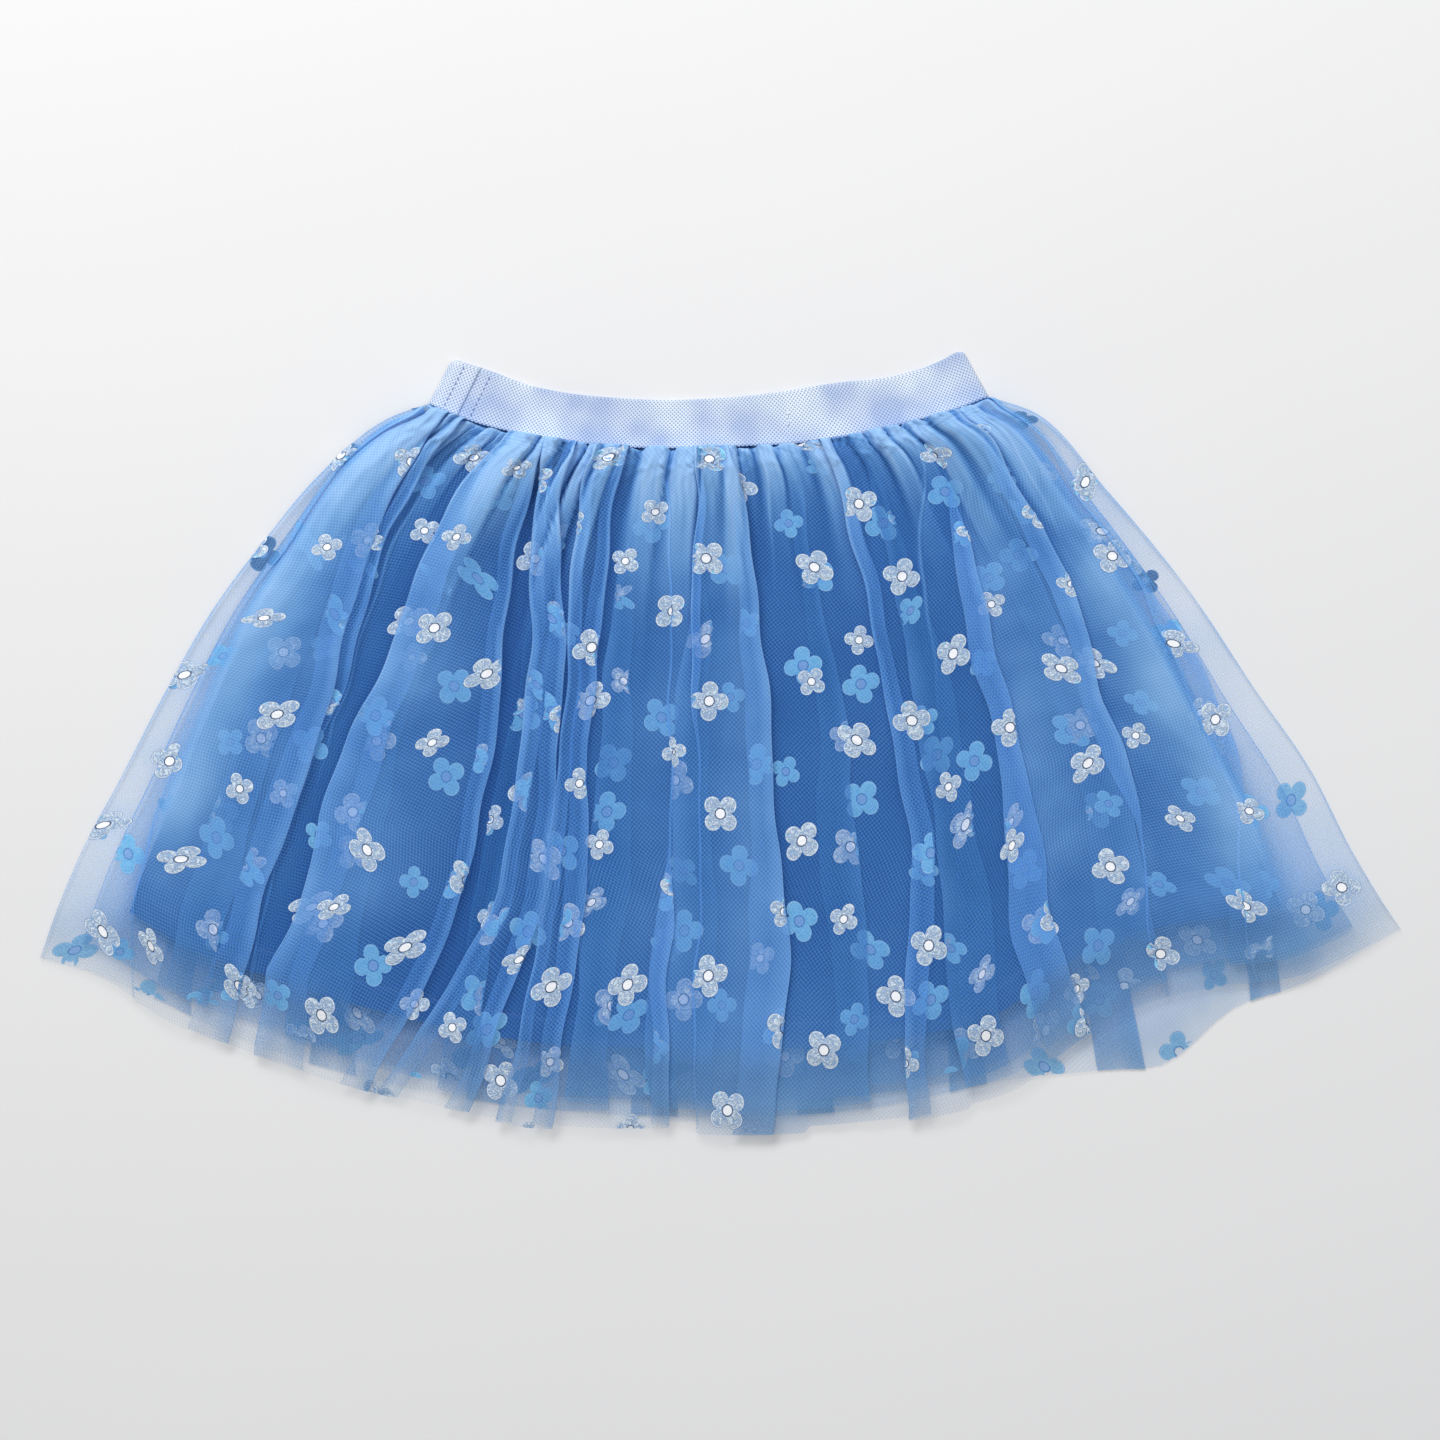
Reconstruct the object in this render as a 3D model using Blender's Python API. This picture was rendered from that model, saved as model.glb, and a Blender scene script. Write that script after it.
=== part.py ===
"""A child's tulle skirt with an elastic waistband, lying flat on a surface, front side up.

Sizes are in millimetres until the meshes are made. X runs to the right, Y towards the waistband and
Z up. The origin is under the middle of the skirt, on the surface it lies on.
"""
import math

import bmesh
import bpy
import numpy as np

MM = 0.001

# Cloths
CLOTH = 1.0
ELASTIC = 1.2
# How far below the seam line the cloths start
SEAM_GAP = 0.8
# The lapped join at the elastic's left end: its step and its distance from that end
LAP_STEP = 0.8
LAP_END = 13.0

# Height of the middle of each cloth over the surface, in the back and in the front of the skirt
BACK_HEIGHT = {"outer_tulle": 0.5, "under_tulle": 1.8, "lining": 3.1}
FRONT_HEIGHT = {"outer_tulle": 7.6, "under_tulle": 6.0, "lining": 4.4}
# How far a front cloth sinks where a cloth below it has ended, and over what distance
SINK = 2.9
SINK_RUN = 14.0
# A front cloth starts to sink this far past the edge of the cloth below it
EDGE_CLEAR = 3.0

# Loft of the gathered cloth below the waistband: its height, the share of the way down where it is
# reached, and how much of it is lost from where and over what run
LOFT = 3.0
LOFT_REACHED = 0.10
LOFT_LOST, LOFT_FALLS_FROM, LOFT_FALL_RUN = 0.85, 0.12, 0.5
# The long soft waves across the front, and the share of the width that stays flat at each side
WAVE = 0.9
WAVES = 7
WAVE_REACHED = 0.10
FLAT_SIDE = 0.10

# Where each cloth ends: share of the way down, and distance inside the outline at its two sides
CLOTH_ENDS = {
    # name: (share down, left at waist, left at hem, right at waist, right at hem)
    "outer_tulle": (1.0, 0.0, 0.0, 0.0, 0.0),
    "under_tulle": (0.965, 1.9, 15.0, 2.1, 15.0),
    "lining": (0.895, 3.8, 30.0, 4.2, 36.0),
}
# How late the two sides move in: 1 is even, more is later
LEFT_CURVE, RIGHT_CURVE = 0.9, 0.55

# Seam between the elastic and the cloths: x, y
WAIST_SEAM = (
    (-122.5, 142.0),
    (-104.0, 134.5),
    (-85.0, 129.5),
    (-51.0, 124.5),
    (8.0, 124.0),
    (43.0, 126.5),
    (79.0, 134.0),
    (100.0, 140.0),
    (112.5, 145.0),
)
# Upper edge of the elastic: x, y
BAND_TOP = (
    (-112.5, 161.0),
    (-97.0, 156.0),
    (-80.5, 150.0),
    (-37.0, 144.0),
    (8.0, 145.0),
    (47.0, 150.5),
    (76.0, 154.5),
    (90.0, 159.0),
    (101.5, 165.0),
)
# Side folds of the tulle, from the waist down: x, y
LEFT_SIDE = (
    (-122.5, 142.0),
    (-138.0, 136.5),
    (-170.0, 110.5),
    (-192.0, 84.0),
    (-211.5, 58.0),
    (-232.5, 22.0),
    (-252.5, -16.5),
    (-267.0, -43.5),
    (-278.5, -70.5),
    (-285.5, -90.5),
)
RIGHT_SIDE = (
    (112.5, 145.0),
    (131.5, 138.5),
    (162.0, 106.0),
    (197.5, 62.5),
    (224.5, 22.0),
    (247.0, -10.5),
    (265.0, -45.5),
    (277.5, -66.5),
    (285.5, -78.5),
)
# Hems of the tulle, from left to right: x, y
FRONT_HEM = (
    (-285.5, -90.5),
    (-263.0, -97.0),
    (-231.0, -116.0),
    (-190.0, -131.0),
    (-149.0, -144.0),
    (-111.0, -153.0),
    (-74.0, -159.0),
    (-20.0, -161.0),
    (14.0, -161.5),
    (60.0, -159.0),
    (94.0, -154.0),
    (126.0, -144.0),
    (150.0, -125.0),
    (172.0, -112.0),
    (204.0, -103.0),
    (243.0, -97.5),
    (285.5, -78.5),
)
BACK_HEM = (
    (-285.5, -90.5),
    (-263.0, -97.0),
    (-190.0, -129.0),
    (-111.0, -149.0),
    (-20.0, -157.0),
    (60.0, -154.0),
    (126.0, -141.0),
    (161.0, -137.5),
    (188.0, -134.5),
    (215.0, -112.0),
    (243.0, -102.0),
    (285.5, -78.5),
)

# Long folds of the front, from left to right. Each is an S in the net: one panel lies over the other.
FOLD_COLUMNS = ("waist_x", "hem_x", "overlap", "lie", "step")
# waist_x, hem_x: the fold's place at the seam and at the hem
# overlap: width of the doubled net at the hem
# lie: 1 where the panel on the left is on top, -1 where the panel on the right is
# step: how far the panel to the right of the fold hangs below the smooth hem
FOLDS = (
    (-110.0, -248.0, 12.0, -1, 1.0),
    (-101.0, -218.0, 14.0, 1, 0.0),
    (-92.0, -190.0, 14.0, 1, 2.0),
    (-82.0, -158.0, 12.0, -1, 2.5),
    (-72.0, -134.0, 8.0, -1, 0.5),
    (-61.0, -111.0, 10.0, 1, 1.5),
    (-50.0, -89.0, 8.0, -1, 3.0),
    (-38.0, -70.0, 8.0, 1, 1.0),
    (-26.0, -46.0, 12.0, 1, -2.0),
    (-11.0, -17.0, 14.0, -1, 3.0),
    (4.0, 14.0, 14.0, 1, 3.0),
    (20.0, 40.0, 8.0, 1, 0.0),
    (36.0, 62.0, 10.0, -1, 0.5),
    (55.0, 86.0, 12.0, -1, 2.0),
    (72.0, 126.0, 14.0, 1, 0.0),
    (87.0, 172.0, 14.0, 1, 0.0),
    (100.0, 226.0, 16.0, -1, 0.0),
)
# Height between the layers of a fold and its width at the waist
FOLD_STEP = 1.6
FOLD_AT_WAIST = 1.0
# The steps of the hem grow close to the hem only: the power of the share down
STEP_POWER = 4
# A panel's first and last points lie this far in, at most this share of its width
LEAD, LEAD_SHARE = 2.0, 0.3
END_POINTS = 7
# Height of the rounded crown of the net between two folds: share of the way down, height
CROWN = ((0.0, 0.9), (0.03, 1.8), (0.10, 2.6), (0.30, 1.6), (0.60, 1.0), (1.0, 0.5))
# The most a crown may be of its panel's width, and shares of it: beside a fold that lies on top,
# beside one that lies below, in the middle of a low panel and next to the skirt's sides
CROWN_MOST = 0.2
CROWN_AT_TOP, CROWN_AT_LOW, CROWN_LOW_MIDDLE, CROWN_AT_SIDE = 0.6, 0.1, 0.4, 0.4

# The elastic's front: height at its ends, an even bulge, long waves and more height by the seam
BAND_END_HEIGHT = 3.4
BAND_BULGE, BAND_WAVE, BAND_BY_SEAM = 0.5, 0.7, 0.5
BAND_WAVES, BAND_WAVE_START = 3.5, 0.15
BAND_FLAT_END = 0.12
BAND_POINTS = {"front": 40, "back": 22}

# Shares of the way down at which every cloth that reaches there has a ring of points
CLOTH_RINGS = (0.0, 0.04, 0.12, 0.30, 0.58, 0.895, 0.965, 1.0)
BAND_RINGS = (0.0, 0.5, 1.0)
BACK_POINTS = {"outer_tulle": 30, "under_tulle": 24, "lining": 20}
FRONT_POINTS = {"under_tulle": 64, "lining": 48}

# Colours: red, green, blue and roughness
COLOURS = {
    "waistband": (0.45, 0.57, 0.82, 0.85),
    "outer_tulle": (0.19, 0.38, 0.76, 0.80),
    "under_tulle": (0.15, 0.34, 0.72, 0.80),
    "lining": (0.05, 0.17, 0.50, 0.60),
}


class Line:
    """A smooth line through a table's rows, read at a share (0 to 1) of its way."""

    def __init__(self, rows, by_x):
        self.points = np.array(rows, float)
        steps = np.diff(self.points, axis=0)
        lengths = np.abs(steps[:, 0]) if by_x else np.hypot(steps[:, 0], steps[:, 1])
        self.at = np.concatenate([[0.0], np.cumsum(lengths)]) / lengths.sum()
        self.slopes = np.gradient(self.points, self.at, axis=0)

    def __call__(self, share):
        i = int(np.clip(np.searchsorted(self.at, share) - 1, 0, len(self.at) - 2))
        span = self.at[i + 1] - self.at[i]
        s = (share - self.at[i]) / span
        return (
            (1 + 2 * s) * (1 - s) ** 2 * self.points[i]
            + s * (1 - s) ** 2 * span * self.slopes[i]
            + s * s * (3 - 2 * s) * self.points[i + 1]
            + s * s * (s - 1) * span * self.slopes[i + 1]
        )


WAIST = Line(WAIST_SEAM, by_x=True)
TOP = Line(BAND_TOP, by_x=True)
LEFT = Line(LEFT_SIDE, by_x=False)
RIGHT = Line(RIGHT_SIDE, by_x=False)
HEMS = {"front": Line(FRONT_HEM, by_x=True), "back": Line(BACK_HEM, by_x=True)}


def mix(start, end, share):
    return start + (end - start) * share


def fade(share):
    """A soft step from 0 to 1."""
    s = min(max(share, 0.0), 1.0)
    return s * s * (3 - 2 * s)


def skirt_place(across, down, side):
    """The place on the surface of a share of the way across and down the laid-out skirt."""
    hem = HEMS[side]
    top = WAIST(across)
    bottom = hem(across)
    sides = mix(LEFT(down), RIGHT(down), across)
    corners = mix(mix(WAIST(0), WAIST(1), across), mix(hem(0), hem(1), across), down)
    spot = mix(top, bottom, down) + sides - corners
    return spot - np.array((0.0, SEAM_GAP * (1 - down)))


def band_place(across, up, side):
    """The place on the surface of a share of the way across and up the elastic."""
    return mix(WAIST(across), TOP(across), up)


def skirt_width(down):
    return float(np.linalg.norm(RIGHT(down) - LEFT(down)))


def band_width(up):
    return float(np.linalg.norm(mix(WAIST(1), TOP(1), up) - mix(WAIST(0), TOP(0), up)))


SKIRT_LENGTH = float(WAIST(0.5)[1] - HEMS["front"](0.5)[1])


def side_inset(cloth, down):
    """How far inside the outline a cloth's two side folds are."""
    _, left_top, left_hem, right_top, right_hem = CLOTH_ENDS[cloth]
    return mix(left_top, left_hem, down ** LEFT_CURVE), mix(right_top, right_hem, down ** RIGHT_CURVE)


def cover(cloth, h, down):
    """1 where a cloth lies below this point, falling softly to 0 past its sides and its hem."""
    left, right = side_inset(cloth, down)
    hem = (CLOTH_ENDS[cloth][0] - down) * SKIRT_LENGTH
    inside = (h - left, skirt_width(down) - right - h, hem)
    return math.prod(fade((distance + EDGE_CLEAR) / SINK_RUN + 1) for distance in inside)


def front_height(cloth, h, down):
    """Height of the middle of a front cloth, before its own folds."""
    across = h / skirt_width(down)
    rise = fade(down / LOFT_REACHED) * (1 - LOFT_LOST * fade((down - LOFT_FALLS_FROM) / LOFT_FALL_RUN))
    edge = fade(across / FLAT_SIDE) * fade((1 - across) / FLAT_SIDE)
    wave = WAVE * (1 - math.cos(2 * math.pi * WAVES * across)) / 2 * fade(down / WAVE_REACHED)
    height = FRONT_HEIGHT[cloth] + (LOFT * rise + wave) * edge
    if cloth != "lining":
        height -= SINK * (1 - cover("lining", h, down))
    if cloth == "outer_tulle":
        height -= SINK * (1 - cover("under_tulle", h, down))
    return height


def crown_height(down, width):
    heights = np.interp(down, [row[0] for row in CROWN], [row[1] for row in CROWN])
    return min(float(heights), CROWN_MOST * width)


def panel(start, end, level_in, level_out, down):
    """Three points of the rounded net between two folds: distance across, height."""
    width = end - start
    crown = crown_height(down, width)
    top = 2 * FOLD_STEP
    middle = CROWN_LOW_MIDDLE if level_in == level_out == 0.0 else 1.0
    lead = min(LEAD, LEAD_SHARE * width)
    beside = {0.0: CROWN_AT_LOW, top: CROWN_AT_TOP}
    return [
        (start + lead, level_in + crown * beside[level_in]),
        ((start + end) / 2, (level_in + level_out) / 2 + crown * middle),
        (end - lead, level_out + crown * beside[level_out]),
    ]


def end_panel(start, end, level_in, level_out, down):
    """The net between a side and the fold next to it, as a soft crown: distance across, height."""
    crown = CROWN_AT_SIDE * crown_height(down, end - start)
    points = []
    for share in np.linspace(0.0, 1.0, END_POINTS + 2)[1:-1]:
        height = mix(level_in, level_out, fade(share)) + crown * math.sin(math.pi * share)
        points.append((mix(start, end, share), height))
    return points


def s_fold(centre, half, lie):
    """Eight points of one fold, left to right along the net: distance across, height."""
    turn = FOLD_STEP / 2
    heights = (0.0, 0.5, 1.0, 1.5, 2.0)
    if lie == 1:
        heights = heights[::-1]
    low, low_turn, middle, high_turn, high = (FOLD_STEP * level for level in heights)
    return [
        (centre - half, low),
        (centre + half, low),
        (centre + half + turn, low_turn),
        (centre + half, middle),
        (centre - half, middle),
        (centre - half - turn, high_turn),
        (centre - half, high),
        (centre + half, high),
    ]


def folded_front(down, start, end):
    """Middle line of the outer net's front: distance across, height over its bed, hem step."""
    width = skirt_width(down)
    first, last = WAIST_SEAM[0][0], WAIST_SEAM[-1][0]
    hem_first, hem_last = FRONT_HEM[0][0], FRONT_HEM[-1][0]
    points = [(start, 0.0, 0.0)]
    place, level, step = start, 0.0, 0.0
    for row in FOLDS:
        fold = dict(zip(FOLD_COLUMNS, row))
        at_waist = (fold["waist_x"] - first) / (last - first)
        at_hem = (fold["hem_x"] - hem_first) / (hem_last - hem_first)
        centre = mix(at_waist, at_hem, down) * width
        half = mix(FOLD_AT_WAIST, fold["overlap"], down) / 2
        top = 2 * FOLD_STEP
        level_out = top if fold["lie"] == 1 else 0.0
        between = end_panel if len(points) == 1 else panel
        points += [(h, z, step) for h, z in between(place, centre - half, level, level_out, down)]
        shape = s_fold(centre, half, fold["lie"])
        steps = np.linspace(step, fold["step"], len(shape))
        points += [(h, z, s) for (h, z), s in zip(shape, steps)]
        place, level, step = centre + half, top - level_out, fold["step"]
    points += [(h, z, step) for h, z in end_panel(place, end, level, 0.0, down)]
    points.append((end, 0.0, 0.0))
    return points


def side_turn(edge, front, back, direction):
    """Three points of a side fold, from the front round to the back."""
    radius = (front - back) / 2
    centre_h = edge + direction * -radius
    centre_z = (front + back) / 2
    points = []
    for angle in (45, 90, 135):
        a = math.radians(angle)
        points.append((centre_h + direction * radius * math.sin(a), centre_z + radius * math.cos(a)))
    return points


def cloth_ring(cloth, down):
    """One closed line round a cloth: rows of distance across, height, hem step and side."""
    width = skirt_width(down)
    inset_left, inset_right = side_inset(cloth, down)
    left = inset_left + CLOTH / 2
    right = width - inset_right - CLOTH / 2
    back = BACK_HEIGHT[cloth]
    left_front = front_height(cloth, left, down)
    right_front = front_height(cloth, right, down)
    start = left + (left_front - back) / 2
    end = right - (right_front - back) / 2
    if cloth == "outer_tulle":
        line = folded_front(down, start, end)
    else:
        line = [(h, 0.0, 0.0) for h in np.linspace(start, end, FRONT_POINTS[cloth])]
    ring = [(h, front_height(cloth, h, down) + z, s, "front") for h, z, s in line]
    ring[0] = (start, left_front, 0.0, "front")
    ring[-1] = (end, right_front, 0.0, "front")
    ring += [(h, z, 0.0, "front") for h, z in side_turn(right, right_front, back, 1)]
    behind = "back" if cloth == "outer_tulle" else "front"
    ring += [(h, back, 0.0, behind) for h in np.linspace(end, start, BACK_POINTS[cloth])]
    ring += [(h, z, 0.0, behind) for h, z in reversed(side_turn(left, left_front, back, -1))]
    return ring


def band_ring(up):
    """One closed line round the elastic: the same rows as a cloth's."""
    width = band_width(up)
    back = ELASTIC / 2
    left, right = ELASTIC / 2, width - ELASTIC / 2
    start = left + (BAND_END_HEIGHT - back) / 2
    end = right - (BAND_END_HEIGHT - back) / 2
    ring = []
    for h in np.linspace(start, end, BAND_POINTS["front"]):
        share = (h - start) / (end - start)
        middle = fade(share / BAND_FLAT_END) * fade((1 - share) / BAND_FLAT_END)
        wave = (1 + math.cos(2 * math.pi * (BAND_WAVES * share + BAND_WAVE_START))) / 2
        lift = BAND_BULGE + BAND_WAVE * wave + BAND_BY_SEAM * (1 - up)
        ring.append((h, BAND_END_HEIGHT + middle * lift, 0.0, "front"))
    ring += [(h, z, 0.0, "front") for h, z in side_turn(right, BAND_END_HEIGHT, back, 1)]
    ring += [(h, back, 0.0, "back") for h in np.linspace(end, start, BAND_POINTS["back"])]
    ring += [(h, z, 0.0, "back") for h, z in reversed(side_turn(left, BAND_END_HEIGHT, back, -1))]
    return ring


def move_out(ring, distances):
    """The ring's points moved along its own normals, mitred at each corner."""
    line = np.array([(row[0], row[1]) for row in ring])
    ahead = np.roll(line, -1, axis=0) - line
    ahead /= np.linalg.norm(ahead, axis=1)[:, None]
    normals = np.column_stack([-ahead[:, 1], ahead[:, 0]])
    before = np.roll(normals, 1, axis=0)
    mitre = (normals + before) / (1 + (normals * before).sum(axis=1))[:, None]
    return line + mitre * np.array(distances)[:, None]


def ring_points(ring, share, width, place, wall, raise_lap):
    """Outer and inner points of one ring, in metres."""
    loops = []
    for side_of_wall in (1, -1):
        reach = [side_of_wall * wall / 2] * len(ring)
        if raise_lap and side_of_wall == 1:
            for i, row in enumerate(ring):
                if row[3] == "front" and row[0] < LAP_END:
                    reach[i] += LAP_STEP
        moved = move_out(ring, reach)
        loop = []
        for (h, z), row in zip(moved, ring):
            down = share + row[2] / SKIRT_LENGTH * share ** STEP_POWER
            across = min(max(h / width, 0.0), 1.0)
            x, y = place(across, down, row[3])
            loop.append((x * MM, y * MM, z * MM))
        loops.append(loop)
    return loops


def tube(name, rings):
    """A closed wall from rings of outer and inner points, as one object."""
    mesh = bpy.data.meshes.new(name)
    shell = bmesh.new()
    walls = [[[shell.verts.new(p) for p in loop] for loop in ring] for ring in rings]
    count = len(rings[0][0])

    def strip(first, second):
        for i in range(count):
            k = (i + 1) % count
            shell.faces.new((first[i], first[k], second[k]))
            shell.faces.new((first[i], second[k], second[i]))

    for upper, lower in zip(walls, walls[1:]):
        strip(upper[0], lower[0])
        strip(upper[1], lower[1])
    strip(walls[-1][0], walls[-1][1])
    strip(walls[0][0], walls[0][1])
    bmesh.ops.recalc_face_normals(shell, faces=shell.faces)
    shell.to_mesh(mesh)
    shell.free()
    item = bpy.data.objects.new(name, mesh)
    bpy.context.scene.collection.objects.link(item)
    item.data.materials.append(cloth_material(name))
    mesh.shade_smooth()
    return item


def cloth_material(name):
    red, green, blue, roughness = COLOURS[name]
    material = bpy.data.materials.new(name)
    material.use_nodes = True
    shader = material.node_tree.nodes["Principled BSDF"]
    shader.inputs["Base Color"].default_value = (red, green, blue, 1.0)
    shader.inputs["Roughness"].default_value = roughness
    return material


def build_cloth(name):
    rings = []
    for down in CLOTH_RINGS:
        if down <= CLOTH_ENDS[name][0]:
            ring = cloth_ring(name, down)
            rings.append(ring_points(ring, down, skirt_width(down), skirt_place, CLOTH, False))
    return tube(name, rings)


def build_waistband():
    rings = []
    for up in BAND_RINGS:
        ring = band_ring(up)
        rings.append(ring_points(ring, up, band_width(up), band_place, ELASTIC, True))
    return tube("waistband", rings)


def main():
    for item in list(bpy.data.objects):
        bpy.data.objects.remove(item, do_unlink=True)
    build_waistband()
    for name in ("lining", "under_tulle", "outer_tulle"):
        build_cloth(name)


main()
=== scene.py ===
# %% [markdown]
# A child's tulle skirt, laid flat
#
# The real skirt is four pieces: a strip of wide elastic, two gathered strips of net with little film
# flowers on them, and an opaque lining. It lies on a table, front side up, and is seen from straight
# above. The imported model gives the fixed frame: its solids say where each cloth lies. Here every
# cloth is made again as a thin sheet on its solid's form, with finer folds, and gets its finish.

# %% The frame
import math

import bmesh
import bpy
import numpy as np
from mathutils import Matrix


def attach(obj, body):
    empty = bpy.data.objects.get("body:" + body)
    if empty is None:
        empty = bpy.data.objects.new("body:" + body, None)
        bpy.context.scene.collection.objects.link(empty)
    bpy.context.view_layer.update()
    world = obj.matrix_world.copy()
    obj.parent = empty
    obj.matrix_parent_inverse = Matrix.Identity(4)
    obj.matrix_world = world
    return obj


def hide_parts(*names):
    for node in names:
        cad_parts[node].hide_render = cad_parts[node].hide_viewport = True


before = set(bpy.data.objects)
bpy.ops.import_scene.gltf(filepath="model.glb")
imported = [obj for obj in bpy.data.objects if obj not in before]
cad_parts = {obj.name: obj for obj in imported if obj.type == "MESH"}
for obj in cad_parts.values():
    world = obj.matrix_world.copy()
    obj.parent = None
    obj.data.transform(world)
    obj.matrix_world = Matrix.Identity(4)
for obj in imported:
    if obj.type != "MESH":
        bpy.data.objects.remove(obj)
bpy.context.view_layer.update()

MM = 0.001

# %% [markdown]
# Sizes
#
# The outline of the laid-out skirt is four lines: the seam under the elastic, the two sides and the
# hem. They are the same lines as in the solids, in millimetres. A cloth that is laid out follows all
# four, so one function can turn "a share across and a share down" into a place on the table.

# %% The outline of the laid-out skirt
WAIST_SEAM = ((-122.5, 142), (-104, 134.5), (-85, 129.5), (-51, 124.5), (8, 124),
              (43, 126.5), (79, 134), (100, 140), (112.5, 145))
BAND_TOP = ((-112.5, 161), (-97, 156), (-80.5, 150), (-37, 144), (8, 145),
            (47, 150.5), (76, 154.5), (90, 159), (101.5, 165))
LEFT_SIDE = ((-122.5, 142), (-138, 136.5), (-170, 110.5), (-192, 84), (-211.5, 58),
             (-232.5, 22), (-252.5, -16.5), (-267, -43.5), (-278.5, -70.5), (-285.5, -90.5))
RIGHT_SIDE = ((112.5, 145), (131.5, 138.5), (162, 106), (197.5, 62.5), (224.5, 22),
              (247, -10.5), (265, -45.5), (277.5, -66.5), (285.5, -78.5))
FRONT_HEM = ((-285.5, -90.5), (-263, -97), (-231, -116), (-190, -131), (-149, -144),
             (-111, -153), (-74, -159), (-20, -161), (14, -161.5), (60, -159),
             (94, -154), (126, -144), (150, -125), (172, -112), (204, -103),
             (243, -97.5), (285.5, -78.5))
BACK_HEM = ((-285.5, -90.5), (-263, -97), (-190, -129), (-111, -149), (-20, -157),
            (60, -154), (126, -141), (161, -137.5), (188, -134.5), (215, -112),
            (243, -102), (285.5, -78.5))
print("outline points:", len(LEFT_SIDE) + len(RIGHT_SIDE) + len(WAIST_SEAM) + len(FRONT_HEM))

# %% Reading the outline
def mix(start, end, share):
    return start + (end - start) * share


def fade(share):
    """A soft step from 0 to 1."""
    s = np.clip(share, 0.0, 1.0)
    return s * s * (3 - 2 * s)


def off_ends(share, run):
    """1 along a share from 0 to 1, falling softly to 0 over a run at both its ends."""
    return fade(share / run) * fade((1 - share) / run)


def smooth_line(rows, by_x):
    """A function that reads a smooth line through the rows at shares (0 to 1) of its way."""
    points = np.array(rows, float)
    steps = np.diff(points, axis=0)
    lengths = np.abs(steps[:, 0]) if by_x else np.hypot(steps[:, 0], steps[:, 1])
    at = np.concatenate([[0.0], np.cumsum(lengths)]) / lengths.sum()
    slopes = np.gradient(points, at, axis=0)

    def read(share):
        share = np.atleast_1d(np.asarray(share, float))
        i = np.clip(np.searchsorted(at, share) - 1, 0, len(at) - 2)
        span = (at[i + 1] - at[i])[:, None]
        s = (share - at[i])[:, None] / span
        return ((1 + 2 * s) * (1 - s) ** 2 * points[i] + s * (1 - s) ** 2 * span * slopes[i]
                + s * s * (3 - 2 * s) * points[i + 1] + s * s * (s - 1) * span * slopes[i + 1])

    return read


waist = smooth_line(WAIST_SEAM, True)
band_top = smooth_line(BAND_TOP, True)
left_side = smooth_line(LEFT_SIDE, False)
right_side = smooth_line(RIGHT_SIDE, False)
front_hem = smooth_line(FRONT_HEM, True)
back_hem = smooth_line(BACK_HEM, True)


def skirt_place(across, down, front):
    """Places on the table, in mm, of shares across and down; front says which hem each one has."""
    across, down = np.asarray(across, float), np.asarray(down, float)
    a, d = across[:, None], down[:, None]
    hem = np.where(np.asarray(front)[:, None], front_hem(across), back_hem(across))
    first_hem, last_hem = front_hem(0.0), front_hem(1.0)
    inside = np.clip(down, 0.0, 1.0)
    sides = mix(left_side(inside), right_side(inside), a)
    corners = mix(mix(waist(0.0), waist(1.0), a), mix(first_hem, last_hem, a), np.clip(d, 0.0, 1.0))
    spot = mix(waist(across), hem, np.clip(d, 0.0, 1.0)) + sides - corners
    spot[:, 1] -= np.maximum(down - 1.0, 0.0) * SKIRT_LENGTH
    tucked = np.maximum(-d, 0.0) * SKIRT_LENGTH / BAND_WIDTH
    return spot + (band_top(across) - waist(across)) * tucked


def skirt_width(down):
    down = min(max(down, 0.0), 1.0)
    return float(np.linalg.norm(right_side(down) - left_side(down)))


SKIRT_LENGTH = float(waist(0.5)[0, 1] - front_hem(0.5)[0, 1])
BAND_WIDTH = float(band_top(0.5)[0, 1] - waist(0.5)[0, 1])
print(f"skirt: {SKIRT_LENGTH:.0f} mm from seam to hem, {skirt_width(0):.0f} to {skirt_width(1):.0f} mm wide")

# %% [markdown]
# Folds
#
# Net that is gathered into a waist falls in long folds. Seen in section, each one is an S: the net
# goes over, back under itself and on again, so three layers lie on each other and the fold's edge
# shows as a thin bright line. A table gives each fold's place at the seam and at the hem, and one
# function turns a row of it into points along the S. Between two folds the net lies in a soft crown.

# %% The tables of folds
FOLD_COLUMNS = ("waist_x", "mid_x", "hem_x", "overlap", "lie", "step", "loft", "start", "stop",
                "near", "far")
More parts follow.
